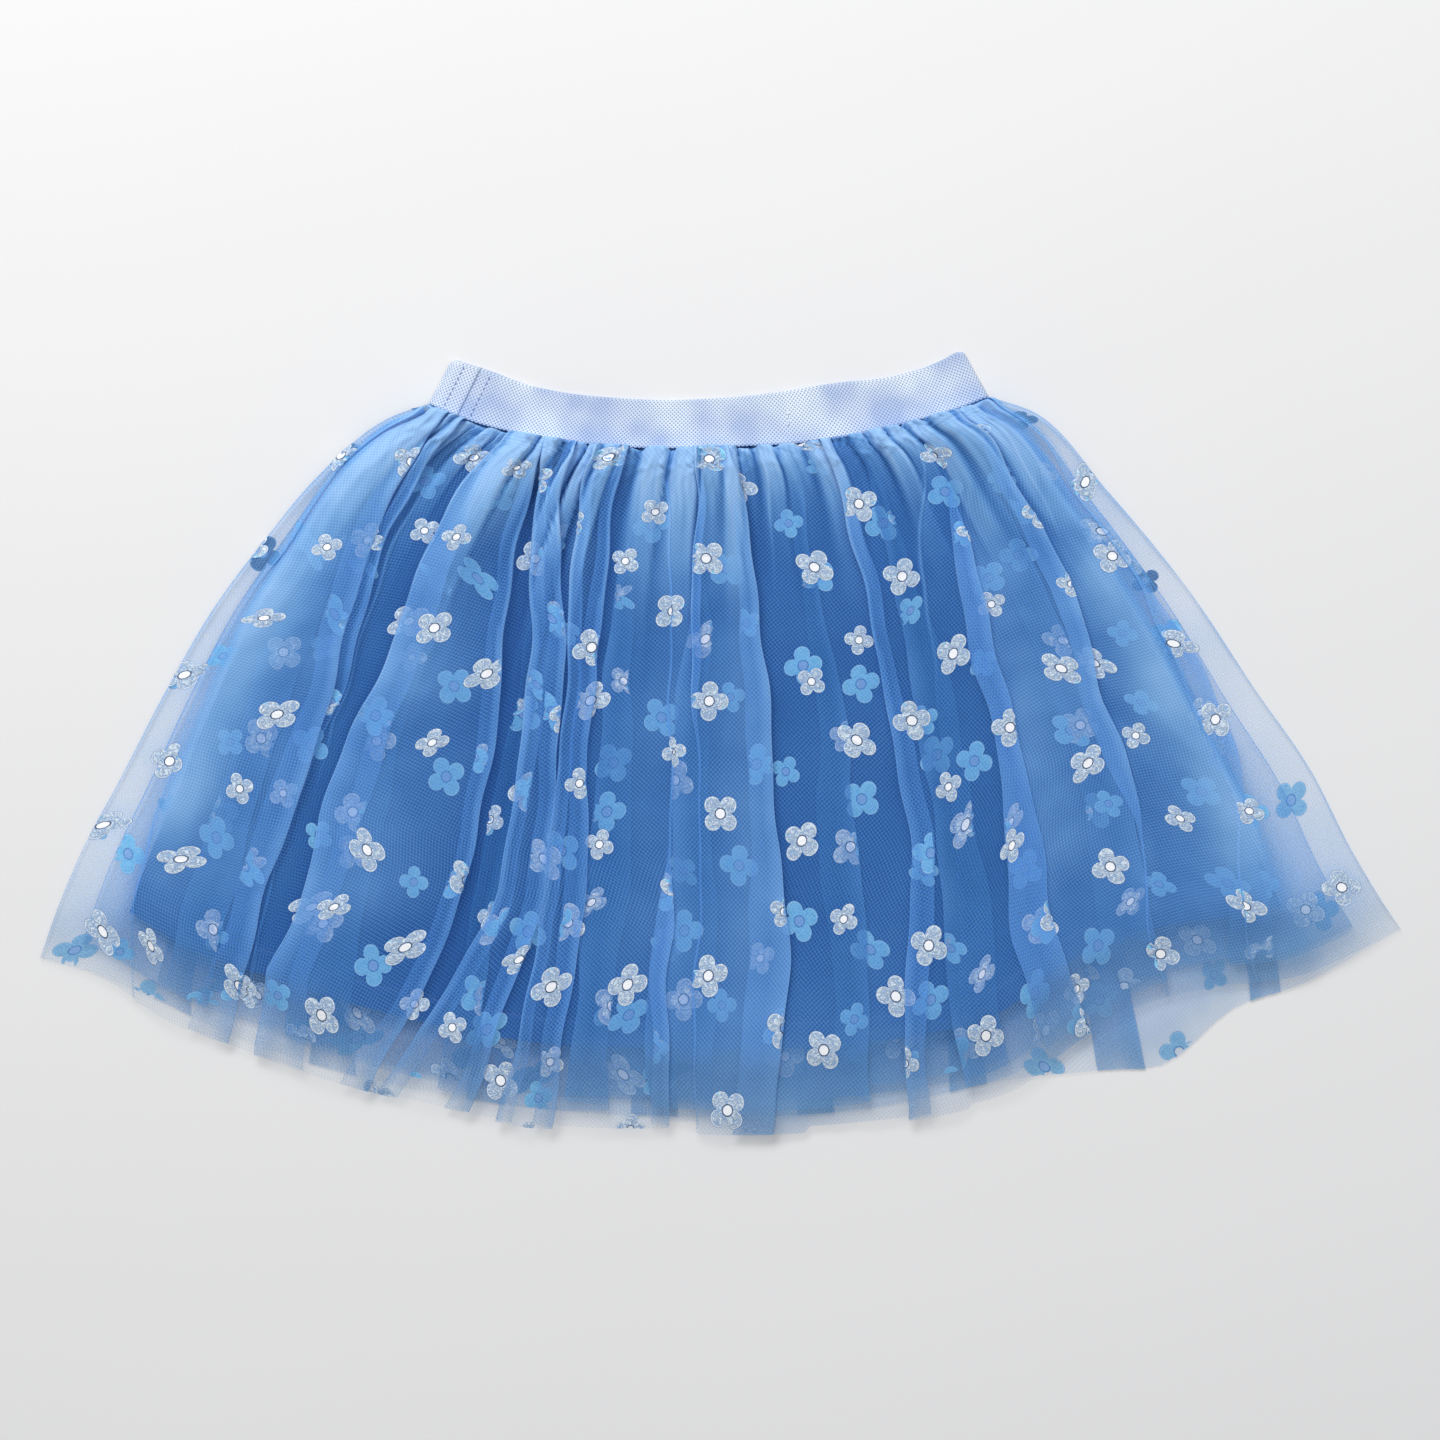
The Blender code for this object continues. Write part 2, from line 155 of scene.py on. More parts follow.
# waist_x, mid_x and hem_x: where the fold lies at the seam, half-way down and at the hem, in mm
# overlap: width of the doubled net at the hem, in mm; 0 makes the row a soft crease instead of a fold
# lie: 1 where the panel on the left is on top, -1 where the panel on the right is
# step: how far the panel to the right of the fold hangs below the smooth hem, in mm
# loft: height of the fold compared with the others
# start and stop: shares of the way down where the fold begins and ends
# near and far: how crowded the net lies in the panel right of the fold, at its two sides; 1 is flat
OUTER_FOLDS = (
    (-118, -212, -246, 3, 1, 1, 0.5, 0, 0.5, 2.2, 1.9),
    (-112, -171, -214, 15, 1, 0, 1.3, 0, 1.2, 0.3, 0.5),
    (-105, -166, -205, 8, 1, 1, 1.1, 0, 0.62, 0.3, 0.3),
    (-98, -159, -197, 0, 1, 1, 1, 0.08, 0.66, 0.4, 0.3),
    (-82, -144, -190, 20, -1, 2, 1.5, 0, 1.2, 2.4, 1.2),
    (-73, -99, -152, 9, 1, 2, 1.5, 0, 1.2, 0.2, 0.2),
    (-70, -80, -137, 8, -1, 0.5, 1.5, 0, 1.2, 1.3, 0.9),
    (-61, -72, -111, 9, 1, 1.5, 1.6, 0, 1.2, 0.5, 0.5),
    (-49, -66, -89, 6, -1, 3, 1.4, 0, 1.2, 1.3, 0.8),
    (-39, -58, -75, 9, 1, 1, 1.4, 0, 1.2, 0.7, 1.7),
    (-20, -22, -26, 8, 1, -2, 1, 0.6, 1.2, 2, 1.5),
    (-10, -9, -10, 4, -1, 3, 0.7, 0, 0.55, 1.2, 2.6),
    (0, 17.5, 14, 16, 1, 3, 1.3, 0, 1.2, 0.6, 0.9),
    (14, 30, 38, 0, 1, 0, 0.7, 0, 0.3, 0.9, 0.9),
    (41, 75.5, 83, 10, -1, 2, 1.2, 0, 1.2, 0.8, 0.5),
    (60, 90, 104, 0, 1, 0, 0.9, 0, 0.16, 0.7, 0.9),
    (74, 84, 108, 0, 1, 0, 0.9, 0, 0.5, 0.8, 0.6),
    (77, 114, 148, 15, 1, 0, 1.2, 0.12, 1.2, 2.4, 1.6),
    (92, 154, 190, 12, 1, 0, 1.2, 0, 0.8, 0.7, 1),
    (100, 163, 200, 0, 1, 0, 0.9, 0, 0.34, 0.9, 1.3),
    (108, 190, 228, 5, -1, 0, 0.5, 0, 0.6, 1.2, 1.4),
)
UNDER_FOLDS = (
    (-104, -186, -226, 20, 1, -3, 1, 0, 1.2, 2.2, 0.9),
    (-80, -138, -172, 22, -1, 2, 1, 0, 1.2, 0.8, 0.3),
    (-52, -86, -112, 14, 1, 6, 1, 0, 1.2, 0.4, 0.9),
    (-28, -44, -58, 20, -1, -2, 1, 0.1, 1.2, 1.1, 0.9),
    (-6, -12, -14, 26, -1, 4, 1, 0.2, 1.2, 1.2, 0.7),
    (24, 46, 56, 18, 1, -4, 1, 0, 1.2, 0.7, 0.9),
    (52, 92, 110, 22, -1, 5, 1, 0, 1.2, 1, 1.1),
    (80, 146, 176, 24, 1, -2, 1, 0, 1.2, 0.8, 1.2),
    (98, 190, 226, 18, 1, 2, 1, 0, 1.2, 1.4, 0.7),
)
BACK_FOLDS = (
    (-98, -186, -230, 16, 1, 0, 1, 0, 1.2, 1.2, 1.4),
    (-70, -132, -164, 18, -1, 0, 1, 0, 1.2, 1.6, 1.2),
    (-42, -78, -96, 14, 1, 0, 1, 0, 1.2, 1.1, 1.5),
    (-12, -24, -30, 18, -1, 0, 1, 0, 1.2, 1.6, 1.3),
    (18, 32, 40, 16, 1, 0, 1, 0, 1.2, 1.2, 1.4),
    (46, 84, 104, 14, -1, 0, 1, 0, 1.2, 1.5, 1.6),
    (76, 138, 170, 18, 1, 0, 1, 0, 1.2, 1.8, 1.4),
    (96, 186, 228, 14, -1, 0, 1, 0, 1.2, 1.2, 1.1),
)
# How crowded the net lies in the first panel of each table, at its two sides
SIDE_CROWD = {"outer": (2.2, 2.0), "under": (1.4, 0.8), "back": (1.3, 0.8)}
for side, folds in (("front", OUTER_FOLDS), ("front below", UNDER_FOLDS), ("back", BACK_FOLDS)):
    print(f"{side}: {len(folds)} folds and creases")

# %% One fold and one crease in section
# Least half width of a fold in mm, and least share of its height where it has died away
LEAST_HALF, LEAST_STRENGTH = 0.45, 0.12
# How bright a fold's lower edge is beside its upper one
HIDDEN_LINE = 0.25
# Half width and height of a soft crease, in mm
CREASE_HALF, CREASE_TALL = 1.1, 0.7
# Smallest distance between two folds, in mm
FOLD_GAP = 0.3


def ripple(share, seed, waves):
    """A soft irregular wave between about -1 and 1 along a share, the same for the same seed."""
    dice = np.random.default_rng(seed)
    total = 0.0
    for k in range(1, 4):
        total = total + math.sqrt(1 / k) * np.sin(2 * np.pi * (waves * k * share + dice.random()))
    return total / 1.6


def s_shape(centre, half, step, lie, turn_points=5):
    """Points of one fold in section, left to right along the net: distance across, height, edge."""
    turn = step / 2
    angles = np.linspace(0, math.pi, turn_points + 2)[1:-1]
    near_edge = max(half - 0.9, 0.5 * half)
    flat = np.array([-half, -near_edge, 0.0, near_edge, half])
    right = np.column_stack([centre + half + turn * np.sin(angles), 1.5 * step + turn * np.cos(angles)])
    left = np.column_stack([centre - half - turn * np.sin(angles), 0.5 * step + turn * np.cos(angles)])
    right_line, left_line = (1.0, HIDDEN_LINE) if lie == 1 else (HIDDEN_LINE, 1.0)
    at_right = 0.5 * right_line * (flat > 0.6 * half)
    at_left = 0.5 * left_line * (flat < -0.6 * half)
    parts = [np.column_stack([centre + flat, np.full(5, 2 * step), at_right]),
             np.column_stack([right, np.full(turn_points, right_line)]),
             np.column_stack([centre - flat, np.full(5, step), (at_right + at_left)[::-1]]),
             np.column_stack([left, np.full(turn_points, left_line)]),
             np.column_stack([centre + flat, np.zeros(5), at_left])]
    points = np.vstack(parts)
    if lie == -1:
        points[:, 1] = 2 * step - points[:, 1]
    return points


def crease_shape(centre, tall):
    """Points of a soft crease in section: distance across, height, edge."""
    off = np.array([-1.0, -0.55, 0.0, 0.55, 1.0])
    swell = np.array([0.0, 0.55, 1.0, 0.55, 0.0])
    return np.column_stack([centre + CREASE_HALF * off, tall * swell, 0.8 * swell ** 2])


print("points in a fold:", len(s_shape(0.0, 3.0, 1.0, 1)), "and in a crease:", len(crease_shape(0.0, 1.0)))

# %% A row of folded net
# How far a fold strays from its line, in mm, in long waves and in short ones
STRAY_LONG, STRAY_SHORT = 2.0, 1.0
# Seeds, counted on from the table's own: of the panels' lean, the folds' width and the short straying
LEAN_SEED, WIDTH_SEED, SHORT_SEED = 50, 90, 400
# Shares down over which a fold starts, ends and begins to stray
START_RUN, STOP_RUN, STRAY_RUN = 0.15, 0.2, 0.12
# Width of the doubled net at the seam in mm, and by which share it wavers
SEAM_OVERLAP, WIDTH_WAVER = 1.4, 0.2
# A panel's crown: most height for each mm of its width, how much of that in a flat panel, and its lean
CROWN_STEEP, CROWN_FLAT, CROWN_LEAN = 0.16, 0.45, 0.35


def fold_share(fold, down):
    """Where a fold lies across, as a share, on a smooth line through its three places."""
    ends = [side(at)[0, 0] for at in (0.0, 0.5, 1.0) for side in (left_side, right_side)]
    places = [(fold[key] - ends[2 * i]) / (ends[2 * i + 1] - ends[2 * i])
              for i, key in enumerate(("waist_x", "mid_x", "hem_x"))]
    d = min(max(down, 0.0), 1.0)
    return places[0] * (1 - d) * (1 - 2 * d) + places[1] * 4 * d * (1 - d) + places[2] * d * (2 * d - 1)


def folded_line(folds, side_crowd, width, down, start, end, step_height, crown, panel_points, seed):
    """One section of folded net: distance across, height, hem step, edge and crowding of each point."""
    share = np.linspace(0.0, 1.0, panel_points + 2)[1:-1]
    rows, place, level, hem_step = [], start, 0.0, 0.0
    crowd = side_crowd
    below = max(down, 0.0)

    def add_panel(begin, finish, level_in, level_out, index):
        span = finish - begin
        tall = min(crown, CROWN_STEEP * span) * (CROWN_FLAT if level_in == level_out == 0.0 else 1.0)
        lean = 1 + CROWN_LEAN * ripple(below, seed + LEAN_SEED + index, 1.3)
        z = mix(level_in, level_out, fade(share)) + tall * lean * np.sin(np.pi * share) ** 0.8
        rows.append(np.column_stack([mix(begin, finish, share), z, np.full(len(share), hem_step),
                                     np.zeros(len(share)), mix(*crowd, fade(share))]))

    for index, row in enumerate(folds):
        fold = dict(zip(FOLD_COLUMNS, row))
        strength = float(fade((below - fold["start"]) / START_RUN + (fold["start"] == 0.0))
                         * fade((fold["stop"] - below) / STOP_RUN))
        height = step_height * fold["loft"] * max(strength, LEAST_STRENGTH)
        wander = float(STRAY_LONG * ripple(below, seed + index, 0.9)
                       + STRAY_SHORT * ripple(below, seed + SHORT_SEED + index, 2.7))
        centre = fold_share(fold, down) * width + fade(below / STRAY_RUN) * wander
        near = mix(crowd[1], fold["near"], strength)
        if fold["overlap"] == 0.0:
            centre = max(centre, place + CREASE_HALF + FOLD_GAP)
            level_out = level_in = 0.4 * level
            shape = crease_shape(centre, CREASE_TALL * fold["loft"] * strength)
            shape[:, 1] += level_out
            half = CREASE_HALF
        else:
            spread = mix(SEAM_OVERLAP, fold["overlap"], below ** 0.75) * strength
            uneven = 1 + WIDTH_WAVER * float(ripple(below, seed + WIDTH_SEED + index, 1.1))
            half = max(LEAST_HALF, spread / 2 * uneven)
            centre = max(centre, place + half + FOLD_GAP)
            level_out = 2 * height if fold["lie"] == 1 else 0.0
            level_in = 2 * height - level_out
            shape = s_shape(centre, half, height, fold["lie"])
        add_panel(place, centre - half, level, level_out, index)
        along = np.linspace(0, 1, len(shape))
        steps = mix(hem_step, fold["step"], along)
        rows.append(np.column_stack([shape[:, 0], shape[:, 1], steps, shape[:, 2] * strength,
                                     mix(crowd[1], near, fade(along))]))
        place, level, hem_step = centre + half, level_in, fold["step"]
        crowd = (near, fold["far"])
    add_panel(place, end, level, 0.0, len(folds))
    return np.vstack([[start, 0.0, 0.0, 0.0, side_crowd[0]], *rows, [end, 0.0, 0.0, 0.0, crowd[1]]])


back_hem_row = folded_line(BACK_FOLDS, (1, 1), skirt_width(1), 1.0, 0.0, skirt_width(1), 0.22, 0.3, 5, 300)
print("points in a row of the outer net's back:", len(back_hem_row))

# %% [markdown]
# Heights
#
# Laid flat, the cloths lie on each other: the back ones on the table, then the front lining, the
# under net and the outer net. Below the elastic the gathers puff up, and past the lining's edge the
# net sinks to the table. At the seam every cloth dives under the elastic's lower edge.

# %% Where each cloth ends and how high it lies
# Heights of the flat cloths above the table, in mm
BACK_HEIGHT = {"outer_net": 0.45, "under_net": 1.7, "lining": 2.9}
FRONT_HEIGHT = {"outer_net": 7.4, "under_net": 5.8, "lining": 4.4}
# How far a net sinks past the edge of the cloth below it, and over how many mm
SINK, SINK_RUN = 2.8, 14.0
# Rise of the cloths below the seam, and height and number of their wide waves
LOFT, WAVE, WAVES = 3.0, 0.9, 7
# Shares down over which they rise, and from which, over which and by how much they fall again
RISE_RUN, FALL_FROM, FALL_RUN, FALL = 0.06, 0.12, 0.5, 0.85
# Share of the way down that lies hidden under the elastic, and over which the gathers rise below it
TUCK = 0.022
# Share of the way down over which a cloth rises from under the elastic
DIVE = 0.017
# Heights under the elastic, of the back and the front
TUCKED_HEIGHT = {"outer_net": (1.6, 2.6), "under_net": (1.75, 2.45), "lining": (1.9, 2.3)}
CLOTH_ENDS = {
    # name: (share down, left at waist, left at hem, right at waist, right at hem)
    "outer_net": (1.0, 0.0, 0.0, 0.0, 0.0),
    "under_net": (0.965, 1.9, 15.0, 2.1, 15.0),
    "lining": (0.895, 3.8, 30.0, 4.2, 36.0),
}
# How late the two sides move in: 1 is even, more is later
LEFT_CURVE, RIGHT_CURVE = 0.9, 0.55
print("heights of the front and the back:", FRONT_HEIGHT, BACK_HEIGHT)

# %% The table of gathers
GATHER_COLUMNS = ("seam_x", "height", "reach", "lean", "gap")
# seam_x: where a gather starts at the seam, in mm; it ends where the next one starts
# height: its height compared with the tallest
# reach: share of the way down over which it dies away
# lean: 1 where it drops steeply on its right, -1 where it does on its left
# gap: how far the net opens in it, so that the dark cloth below shows
GATHERS = (
    (-122.5, 0.5, 0.08, 1, 0),
    (-117, 0.7, 0.13, 1, 0),
    (-105.5, 0.7, 0.08, 1, 0),
    (-98.5, 0.3, 0.1, -1, 0.5),
    (-95, 0.6, 0.12, 1, 0),
    (-88, 0.4, 0.08, -1, 0.3),
    (-83, 0.9, 0.17, 1, 0),
    (-71.5, 0.9, 0.1, -1, 0),
    (-62, 0.2, 0.14, 1, 0.9),
    (-58, 0.8, 0.12, -1, 0),
    (-53, 1, 0.15, -1, 0),
    (-47, 0.5, 0.16, 1, 0.1),
    (-39.5, 0.4, 0.07, -1, 0.4),
    (-32, 1, 0.14, 1, 0),
    (-20, 1, 0.14, 1, 0),
    (-8, 0.7, 0.1, -1, 0.2),
    (0, 1, 0.14, 1, 0),
    (6.5, 0.5, 0.07, -1, 0.5),
    (12.5, 0.9, 0.1, 1, 0),
    (21.5, 0.7, 0.08, -1, 0.1),
    (32, 1, 0.12, 1, 0),
    (43.5, 0.2, 0.11, -1, 0.9),
    (50, 0.5, 0.08, 1, 0.4),
    (56.5, 0.9, 0.11, 1, 0),
    (64.5, 0.8, 0.08, -1, 0),
    (72.5, 0.8, 0.15, -1, 0),
    (81, 0.7, 0.12, 1, 0.2),
    (91, 0.9, 0.13, 1, 0),
    (102, 0.9, 0.16, 1, 0),
)
GATHER_HEIGHT = 5.2
# In a gather, as shares of its width: its rise, its drop, the place and width of its rim, and its slit
GATHER_RISE, GATHER_DROP, RIM_AT, RIM_WIDE, SLIT_WIDE = 0.35, 0.16, 0.85, 0.06, 0.07
print(len(GATHERS), "gathers below the elastic")

# %% The bed that a cloth lies on
def side_inset(cloth, down):
    """How far, in mm, a cloth's sides lie inside the outline, at the left and at the right."""
    _, left_top, left_hem, right_top, right_hem = CLOTH_ENDS[cloth]
    d = max(down, 0.0)
    return mix(left_top, left_hem, d ** LEFT_CURVE), mix(right_top, right_hem, d ** RIGHT_CURVE)


def cover(cloth, h, down):
    """1 where a cloth lies below a point, falling softly to 0 past its sides and its hem."""
    left, right = side_inset(cloth, down)
    past_hem = (CLOTH_ENDS[cloth][0] - down) * SKIRT_LENGTH
    return (fade((h - left) / SINK_RUN + 1) * fade((skirt_width(down) - right - h) / SINK_RUN + 1)
            * fade(past_hem / SINK_RUN + 1))


def bed_height(cloth, h, down):
    """Height of a front cloth before its own folds, below the seam."""
    h = np.asarray(h, float)
    across = h / skirt_width(down)
    rise = fade(down / RISE_RUN) * (1 - FALL * fade((down - FALL_FROM) / FALL_RUN))
    edge = off_ends(across, 0.10)
    wave = WAVE * 0.5 * (1 - np.cos(2 * np.pi * WAVES * across)) * fade(down / 0.10)
    height = FRONT_HEIGHT[cloth] + (LOFT * rise + wave) * edge
    if cloth != "lining":
        height = height - SINK * (1 - cover("lining", h, down))
    if cloth == "outer_net":
        height = height - SINK * (1 - cover("under_net", h, down))
    return height


gather_rows = {name: np.array(column, float) for name, column in zip(GATHER_COLUMNS, zip(*GATHERS))}
seam_left, seam_right = WAIST_SEAM[0][0], WAIST_SEAM[-1][0]
GATHER_EDGES = (np.append(gather_rows["seam_x"], seam_right) - seam_left) / (seam_right - seam_left)


def gather_shape(across, down):
    """Small gathers that lean over the slits between them: height, rim and slit, each 0 to 1."""
    i = np.clip(np.searchsorted(GATHER_EDGES, across) - 1, 0, len(GATHERS) - 1)
    inside = np.clip((across - GATHER_EDGES[i]) / (GATHER_EDGES[i + 1] - GATHER_EDGES[i]), 0, 1)
    towards = np.where(gather_rows["lean"][i] > 0, inside, 1 - inside)
    left = np.exp(-(max(down, 0.0) / gather_rows["reach"][i]) ** 1.5)
    tall = gather_rows["height"][i] * left
    puff = fade(towards / GATHER_RISE) * fade((1 - towards) / GATHER_DROP) * tall * fade(down / TUCK)
    rim = np.exp(-((towards - RIM_AT) / RIM_WIDE) ** 2) * tall
    slit = np.maximum(np.exp(-((towards - 1) / SLIT_WIDE) ** 2), 0.8 * gather_rows["gap"][i]) * left
    return puff, rim, slit


tallest = max(float(gather_shape(x, 0.04)[0]) for x in GATHER_EDGES + 0.02)
print(f"the tallest gather near the seam adds {tallest * GATHER_HEIGHT:.1f} mm")

# %% [markdown]
# From sections to a sheet
#
# A cloth here is a grid: rows go down the skirt and columns run once round it, along the front and
# back along the underside. Real net this fine has no thickness to see, so one layer of faces is
# enough, and the holes are left to the material. The sheet also gets flat cloth coordinates: the
# distance along each row and the distance down, in metres. The weave and the flowers use them.

# %% Meshes with values and flat coordinates
def new_item(name, data):
    """An object for a mesh, a light or a camera, linked to the scene."""
    item = bpy.data.objects.new(name, data)
    bpy.context.scene.collection.objects.link(item)
    return item


def grid_mesh(name, points):
    """A mesh from rows of points, in metres."""
    rows, columns = points.shape[:2]
    mesh = bpy.data.meshes.new(name)
    index = np.arange(rows * columns).reshape(rows, columns)
    quads = np.stack([index[:-1, :-1], index[1:, :-1], index[1:, 1:], index[:-1, 1:]], axis=-1)
    mesh.from_pydata(points.reshape(-1, 3).tolist(), [], quads.reshape(-1, 4).tolist())
    mesh.shade_smooth()
    return new_item(name, mesh)


def write_values(mesh, label, values):
    """Keep a number for each point of a mesh, under a name that materials can read."""
    layer = mesh.attributes.new(label, "FLOAT", "POINT")
    layer.data.foreach_set("value", np.asarray(values, np.float32).ravel())


def write_chart(item, flat):
    """Keep flat cloth coordinates, in metres, as the UV map "cloth"."""
    corners = np.empty(len(item.data.loops), dtype=np.int32)
    item.data.loops.foreach_get("vertex_index", corners)
    chart = item.data.uv_layers.new(name="cloth")
    chart.data.foreach_set("uv", flat.reshape(-1, 2)[corners].astype(np.float32).ravel())


def point_cloud(name, places, **values):
    """An object of loose points, each with its named values."""
    mesh = bpy.data.meshes.new(name)
    mesh.from_pydata([tuple(place) for place in places], [], [])
    for label, column in values.items():
        write_values(mesh, label, column)
    return new_item(name, mesh)


print("helpers for meshes are ready")

# %% How crowded the net lies
# How much of the gathers each cloth takes, how they crowd it, and how bright their rims are
PUFF_SHARE = {"outer_net": 1.0, "under_net": 0.35, "lining": 0.2}
PUFF_CROWD = {"outer_net": 11.0, "under_net": 0.8, "lining": 0.0}
PUFF_RIM = {"outer_net": 0.9, "under_net": 0.0, "lining": 0.0}
# How much the net thins out in the slits between gathers, and how much denser a fold's edge is
SLIT_THIN, EDGE_DENSITY = 0.75, 2.2
# How densely the nets are spread along the hem: share across, crowding
HEM_CROWD = ((0, 0.8), (0.08, 0.9), (0.11, 0.7), (0.17, 0.7), (0.22, 0.8), (0.30, 0.9), (0.36, 1),
             (0.48, 1.5), (0.54, 2.6), (0.60, 2.1), (0.65, 1.4), (0.72, 1.1), (0.80, 1.6), (0.88, 2.3),
             (0.96, 1.8), (1, 0.9))
# From which share down the hem's table counts, and how much of the folds' own crowding it holds back
HEM_FROM, HEM_HOLD = 0.70, 0.85
# From which share down the last of the net thins out, and to how much
LAST_FROM, HEM_THIN = 0.955, 0.6
# Where the painted shade of the hem begins and the streaks of the gathers end, and over which shares down
LOW_FROM, LOW_RUN = 0.84, 0.16
GATHERED_TO, GATHERED_RUN = 0.06, 0.20
# How crowded the nets are past the lining: beside it, and so many mm further out
VEIL_CROWD, VEIL_WIDE, VEIL_SOFT = (0.85, 0.45), 14.0, 5.0
# Where the net piles up over the lining, partly real and partly painted light for the bright bands by
# the lining's sides: side, how much, over how many mm, from and to which share down
SIDE_PILES = (
    ("left", 3.0, 14.0, -0.2, 1.2),
    ("left", 0.6, 40.0, -0.2, 0.60),
    ("right", 2.2, 12.0, -0.2, 1.2),
    ("right", 1.9, 45.0, 0.25, 0.95),
)
# How much of a rise counts in the cloth's flat length, as net gives in its height
FLAT_RISE = 0.3
# Tall gathers hang over the seam: by how many mm, from which height on, over which rise; and where,
# as a share down and a run
OVERHANG, OVERHANG_FROM, OVERHANG_RISE = 3.0, 7.0, 6.0
OVERHANG_AT, OVERHANG_RUN = 0.02, 0.016


def rows_down(end, count_top, count_rest):
    """Shares down for the rows: close together below the seam, wider apart further down."""
    top = np.linspace(-TUCK, 0.10, count_top)
    return np.concatenate([top, np.linspace(0.10, end, count_rest + 1)[1:]])


def turn_round(edge, front, back, direction, count=7):
    """Points of a side fold, from the front round to the back."""
    radius = (front - back) / 2
    angles = np.linspace(0, math.pi, count + 2)[1:-1]
    return np.column_stack([edge - direction * radius * (1 - np.sin(angles)),
                            (front + back) / 2 + radius * np.cos(angles)])


def past_lining(h, width, down):
    """How far, in mm, a place lies outside the lining's sides; less than 0 on the lining."""
    left, right = side_inset("lining", down)
    return np.maximum(left - h, h - (width - right))


def thin_beside(crowd, h, width, down):
    """Crowding that thins out to the veil's beside the lining."""
    past = past_lining(h, width, down)
    return mix(crowd, mix(*VEIL_CROWD, fade(past / VEIL_WIDE)), fade(past / VEIL_SOFT))


def veil_crowd(crowd, h, width, down):
    """Crowding that piles up on the lining's edge and thins out to the veil's beside it."""
    left, right = side_inset("lining", down)
    inside = {"left": h - left, "right": width - right - h}
    for side, high, run, begin, finish in SIDE_PILES:
        share = float(fade((down - begin) / 0.12) * fade((finish - down) / 0.12))
        crowd = crowd + share * high * np.exp(-(np.maximum(inside[side], 0.0) / run) ** 2)
    return thin_beside(crowd, h, width, down)


def crowd_at_hem(crowd, across, down):
    """Crowding that gives way, towards the hem, to how densely the hem itself is spread."""
    spread = np.interp(across, *zip(*HEM_CROWD))
    share = fade((down - HEM_FROM) / (1 - HEM_FROM))
    last = mix(1.0, HEM_THIN, fade((down - LAST_FROM) / (1 - LAST_FROM)))
    return crowd ** (1 - HEM_HOLD * share) * spread ** share * last


def net_density(ring, edge, crowd):
    """How close together the threads look from above: more on slopes, fold edges and gathers."""
    normal = np.cross(np.gradient(ring, axis=1), np.gradient(ring, axis=0))
    normal /= np.maximum(np.linalg.norm(normal, axis=2), 1e-9)[:, :, None]
    steep = 1 / np.maximum(np.abs(normal[:, :, 2]), 0.4)
    return np.clip(crowd * steep + EDGE_DENSITY * edge, 0.2, 10.0)


print("crowding in the middle of the hem:", round(float(crowd_at_hem(1.0, 0.5, 1.0)), 2))

# %% One row round a cloth
def flat_line(start, end, count, crowd):
    """A smooth line of cloth between its sides: distance across, three zeros and its crowding."""
    return np.column_stack([np.linspace(start, end, count), np.zeros((count, 3)), np.full(count, crowd)])


def cloth_section(cloth, down, build_front, build_back):
    """One row round a cloth. Its columns: place across and height in mm, how far it hangs past the
    smooth hem, 1 at a fold's edge, how crowded the net is, and 1 on the front."""
    width = skirt_width(down)
    left, inset_right = side_inset(cloth, down)
    right = width - inset_right
    dive = fade(down / DIVE)
    low_back, low_front = TUCKED_HEIGHT[cloth]
    back = mix(low_back, BACK_HEIGHT[cloth], dive)
    ends = [mix(low_front, float(bed_height(cloth, h, down)), dive) for h in (left, right)]
    start, end = left + (ends[0] - back) / 2, right - (ends[1] - back) / 2
    h, rise, hem_step, edge, crowd = build_front(width, down, start, end).T
    puff, rim, slit = gather_shape(h / width, down)
    puff = puff * off_ends(h / width, 0.03)
    height = bed_height(cloth, h, down) + rise + GATHER_HEIGHT * PUFF_SHARE[cloth] * puff
    height = mix(low_front, height, dive)
    height[0], height[-1] = ends
    crowd = (crowd + PUFF_CROWD[cloth] * puff) * (1 - SLIT_THIN * slit)
    crowd = (veil_crowd if cloth == "outer_net" else thin_beside)(crowd, h, width, down)
    edge = np.maximum(edge, PUFF_RIM[cloth] * rim)
    parts = [np.column_stack([h, height, hem_step, edge, crowd, np.ones(len(h))])]
    for side, high, direction in ((right, ends[1], 1), (left, ends[0], -1)):
        turn = turn_round(side, high, back, direction)[::direction]
        count = len(turn)
        parts.append(np.column_stack([turn, np.zeros(count), np.full(count, 0.2), np.ones((count, 2))]))
    h, rise, hem_step, edge, crowd = build_back(width, down, start, end)[::-1].T
    crowd = thin_beside(crowd, h, width, down)
    parts.insert(2, np.column_stack([h, back + rise * dive, hem_step, edge, crowd, np.zeros(len(h))]))
    return np.vstack(parts)


print("points in a side fold:", len(turn_round(0.0, 4.0, 1.0, 1)))

# %% Laying a cloth
def ring_chart(along, downs):
    """Flat coordinates, in metres: the cloth opened out as a sector of a ring, as a flared cut is."""
    girth = along[:, -1] - along[:, 0]
    shown = downs > 0.03
    slope, at_waist = np.polyfit(downs[shown], girth[shown], 1)
    angle = slope / SKIRT_LENGTH
    radius = (at_waist / angle + SKIRT_LENGTH * downs)[:, None]
    turn = along / radius
    flat = np.stack([radius * np.sin(turn), -radius * np.cos(turn)], axis=-1) * MM
    size = {"waist": at_waist / angle * MM, "hem": float(radius[-1, 0]) * MM, "angle": float(angle),
            "girth": float(girth[-1]) * MM, "length": float(downs[-1] - downs[0]) * SKIRT_LENGTH * MM}
    return flat, size


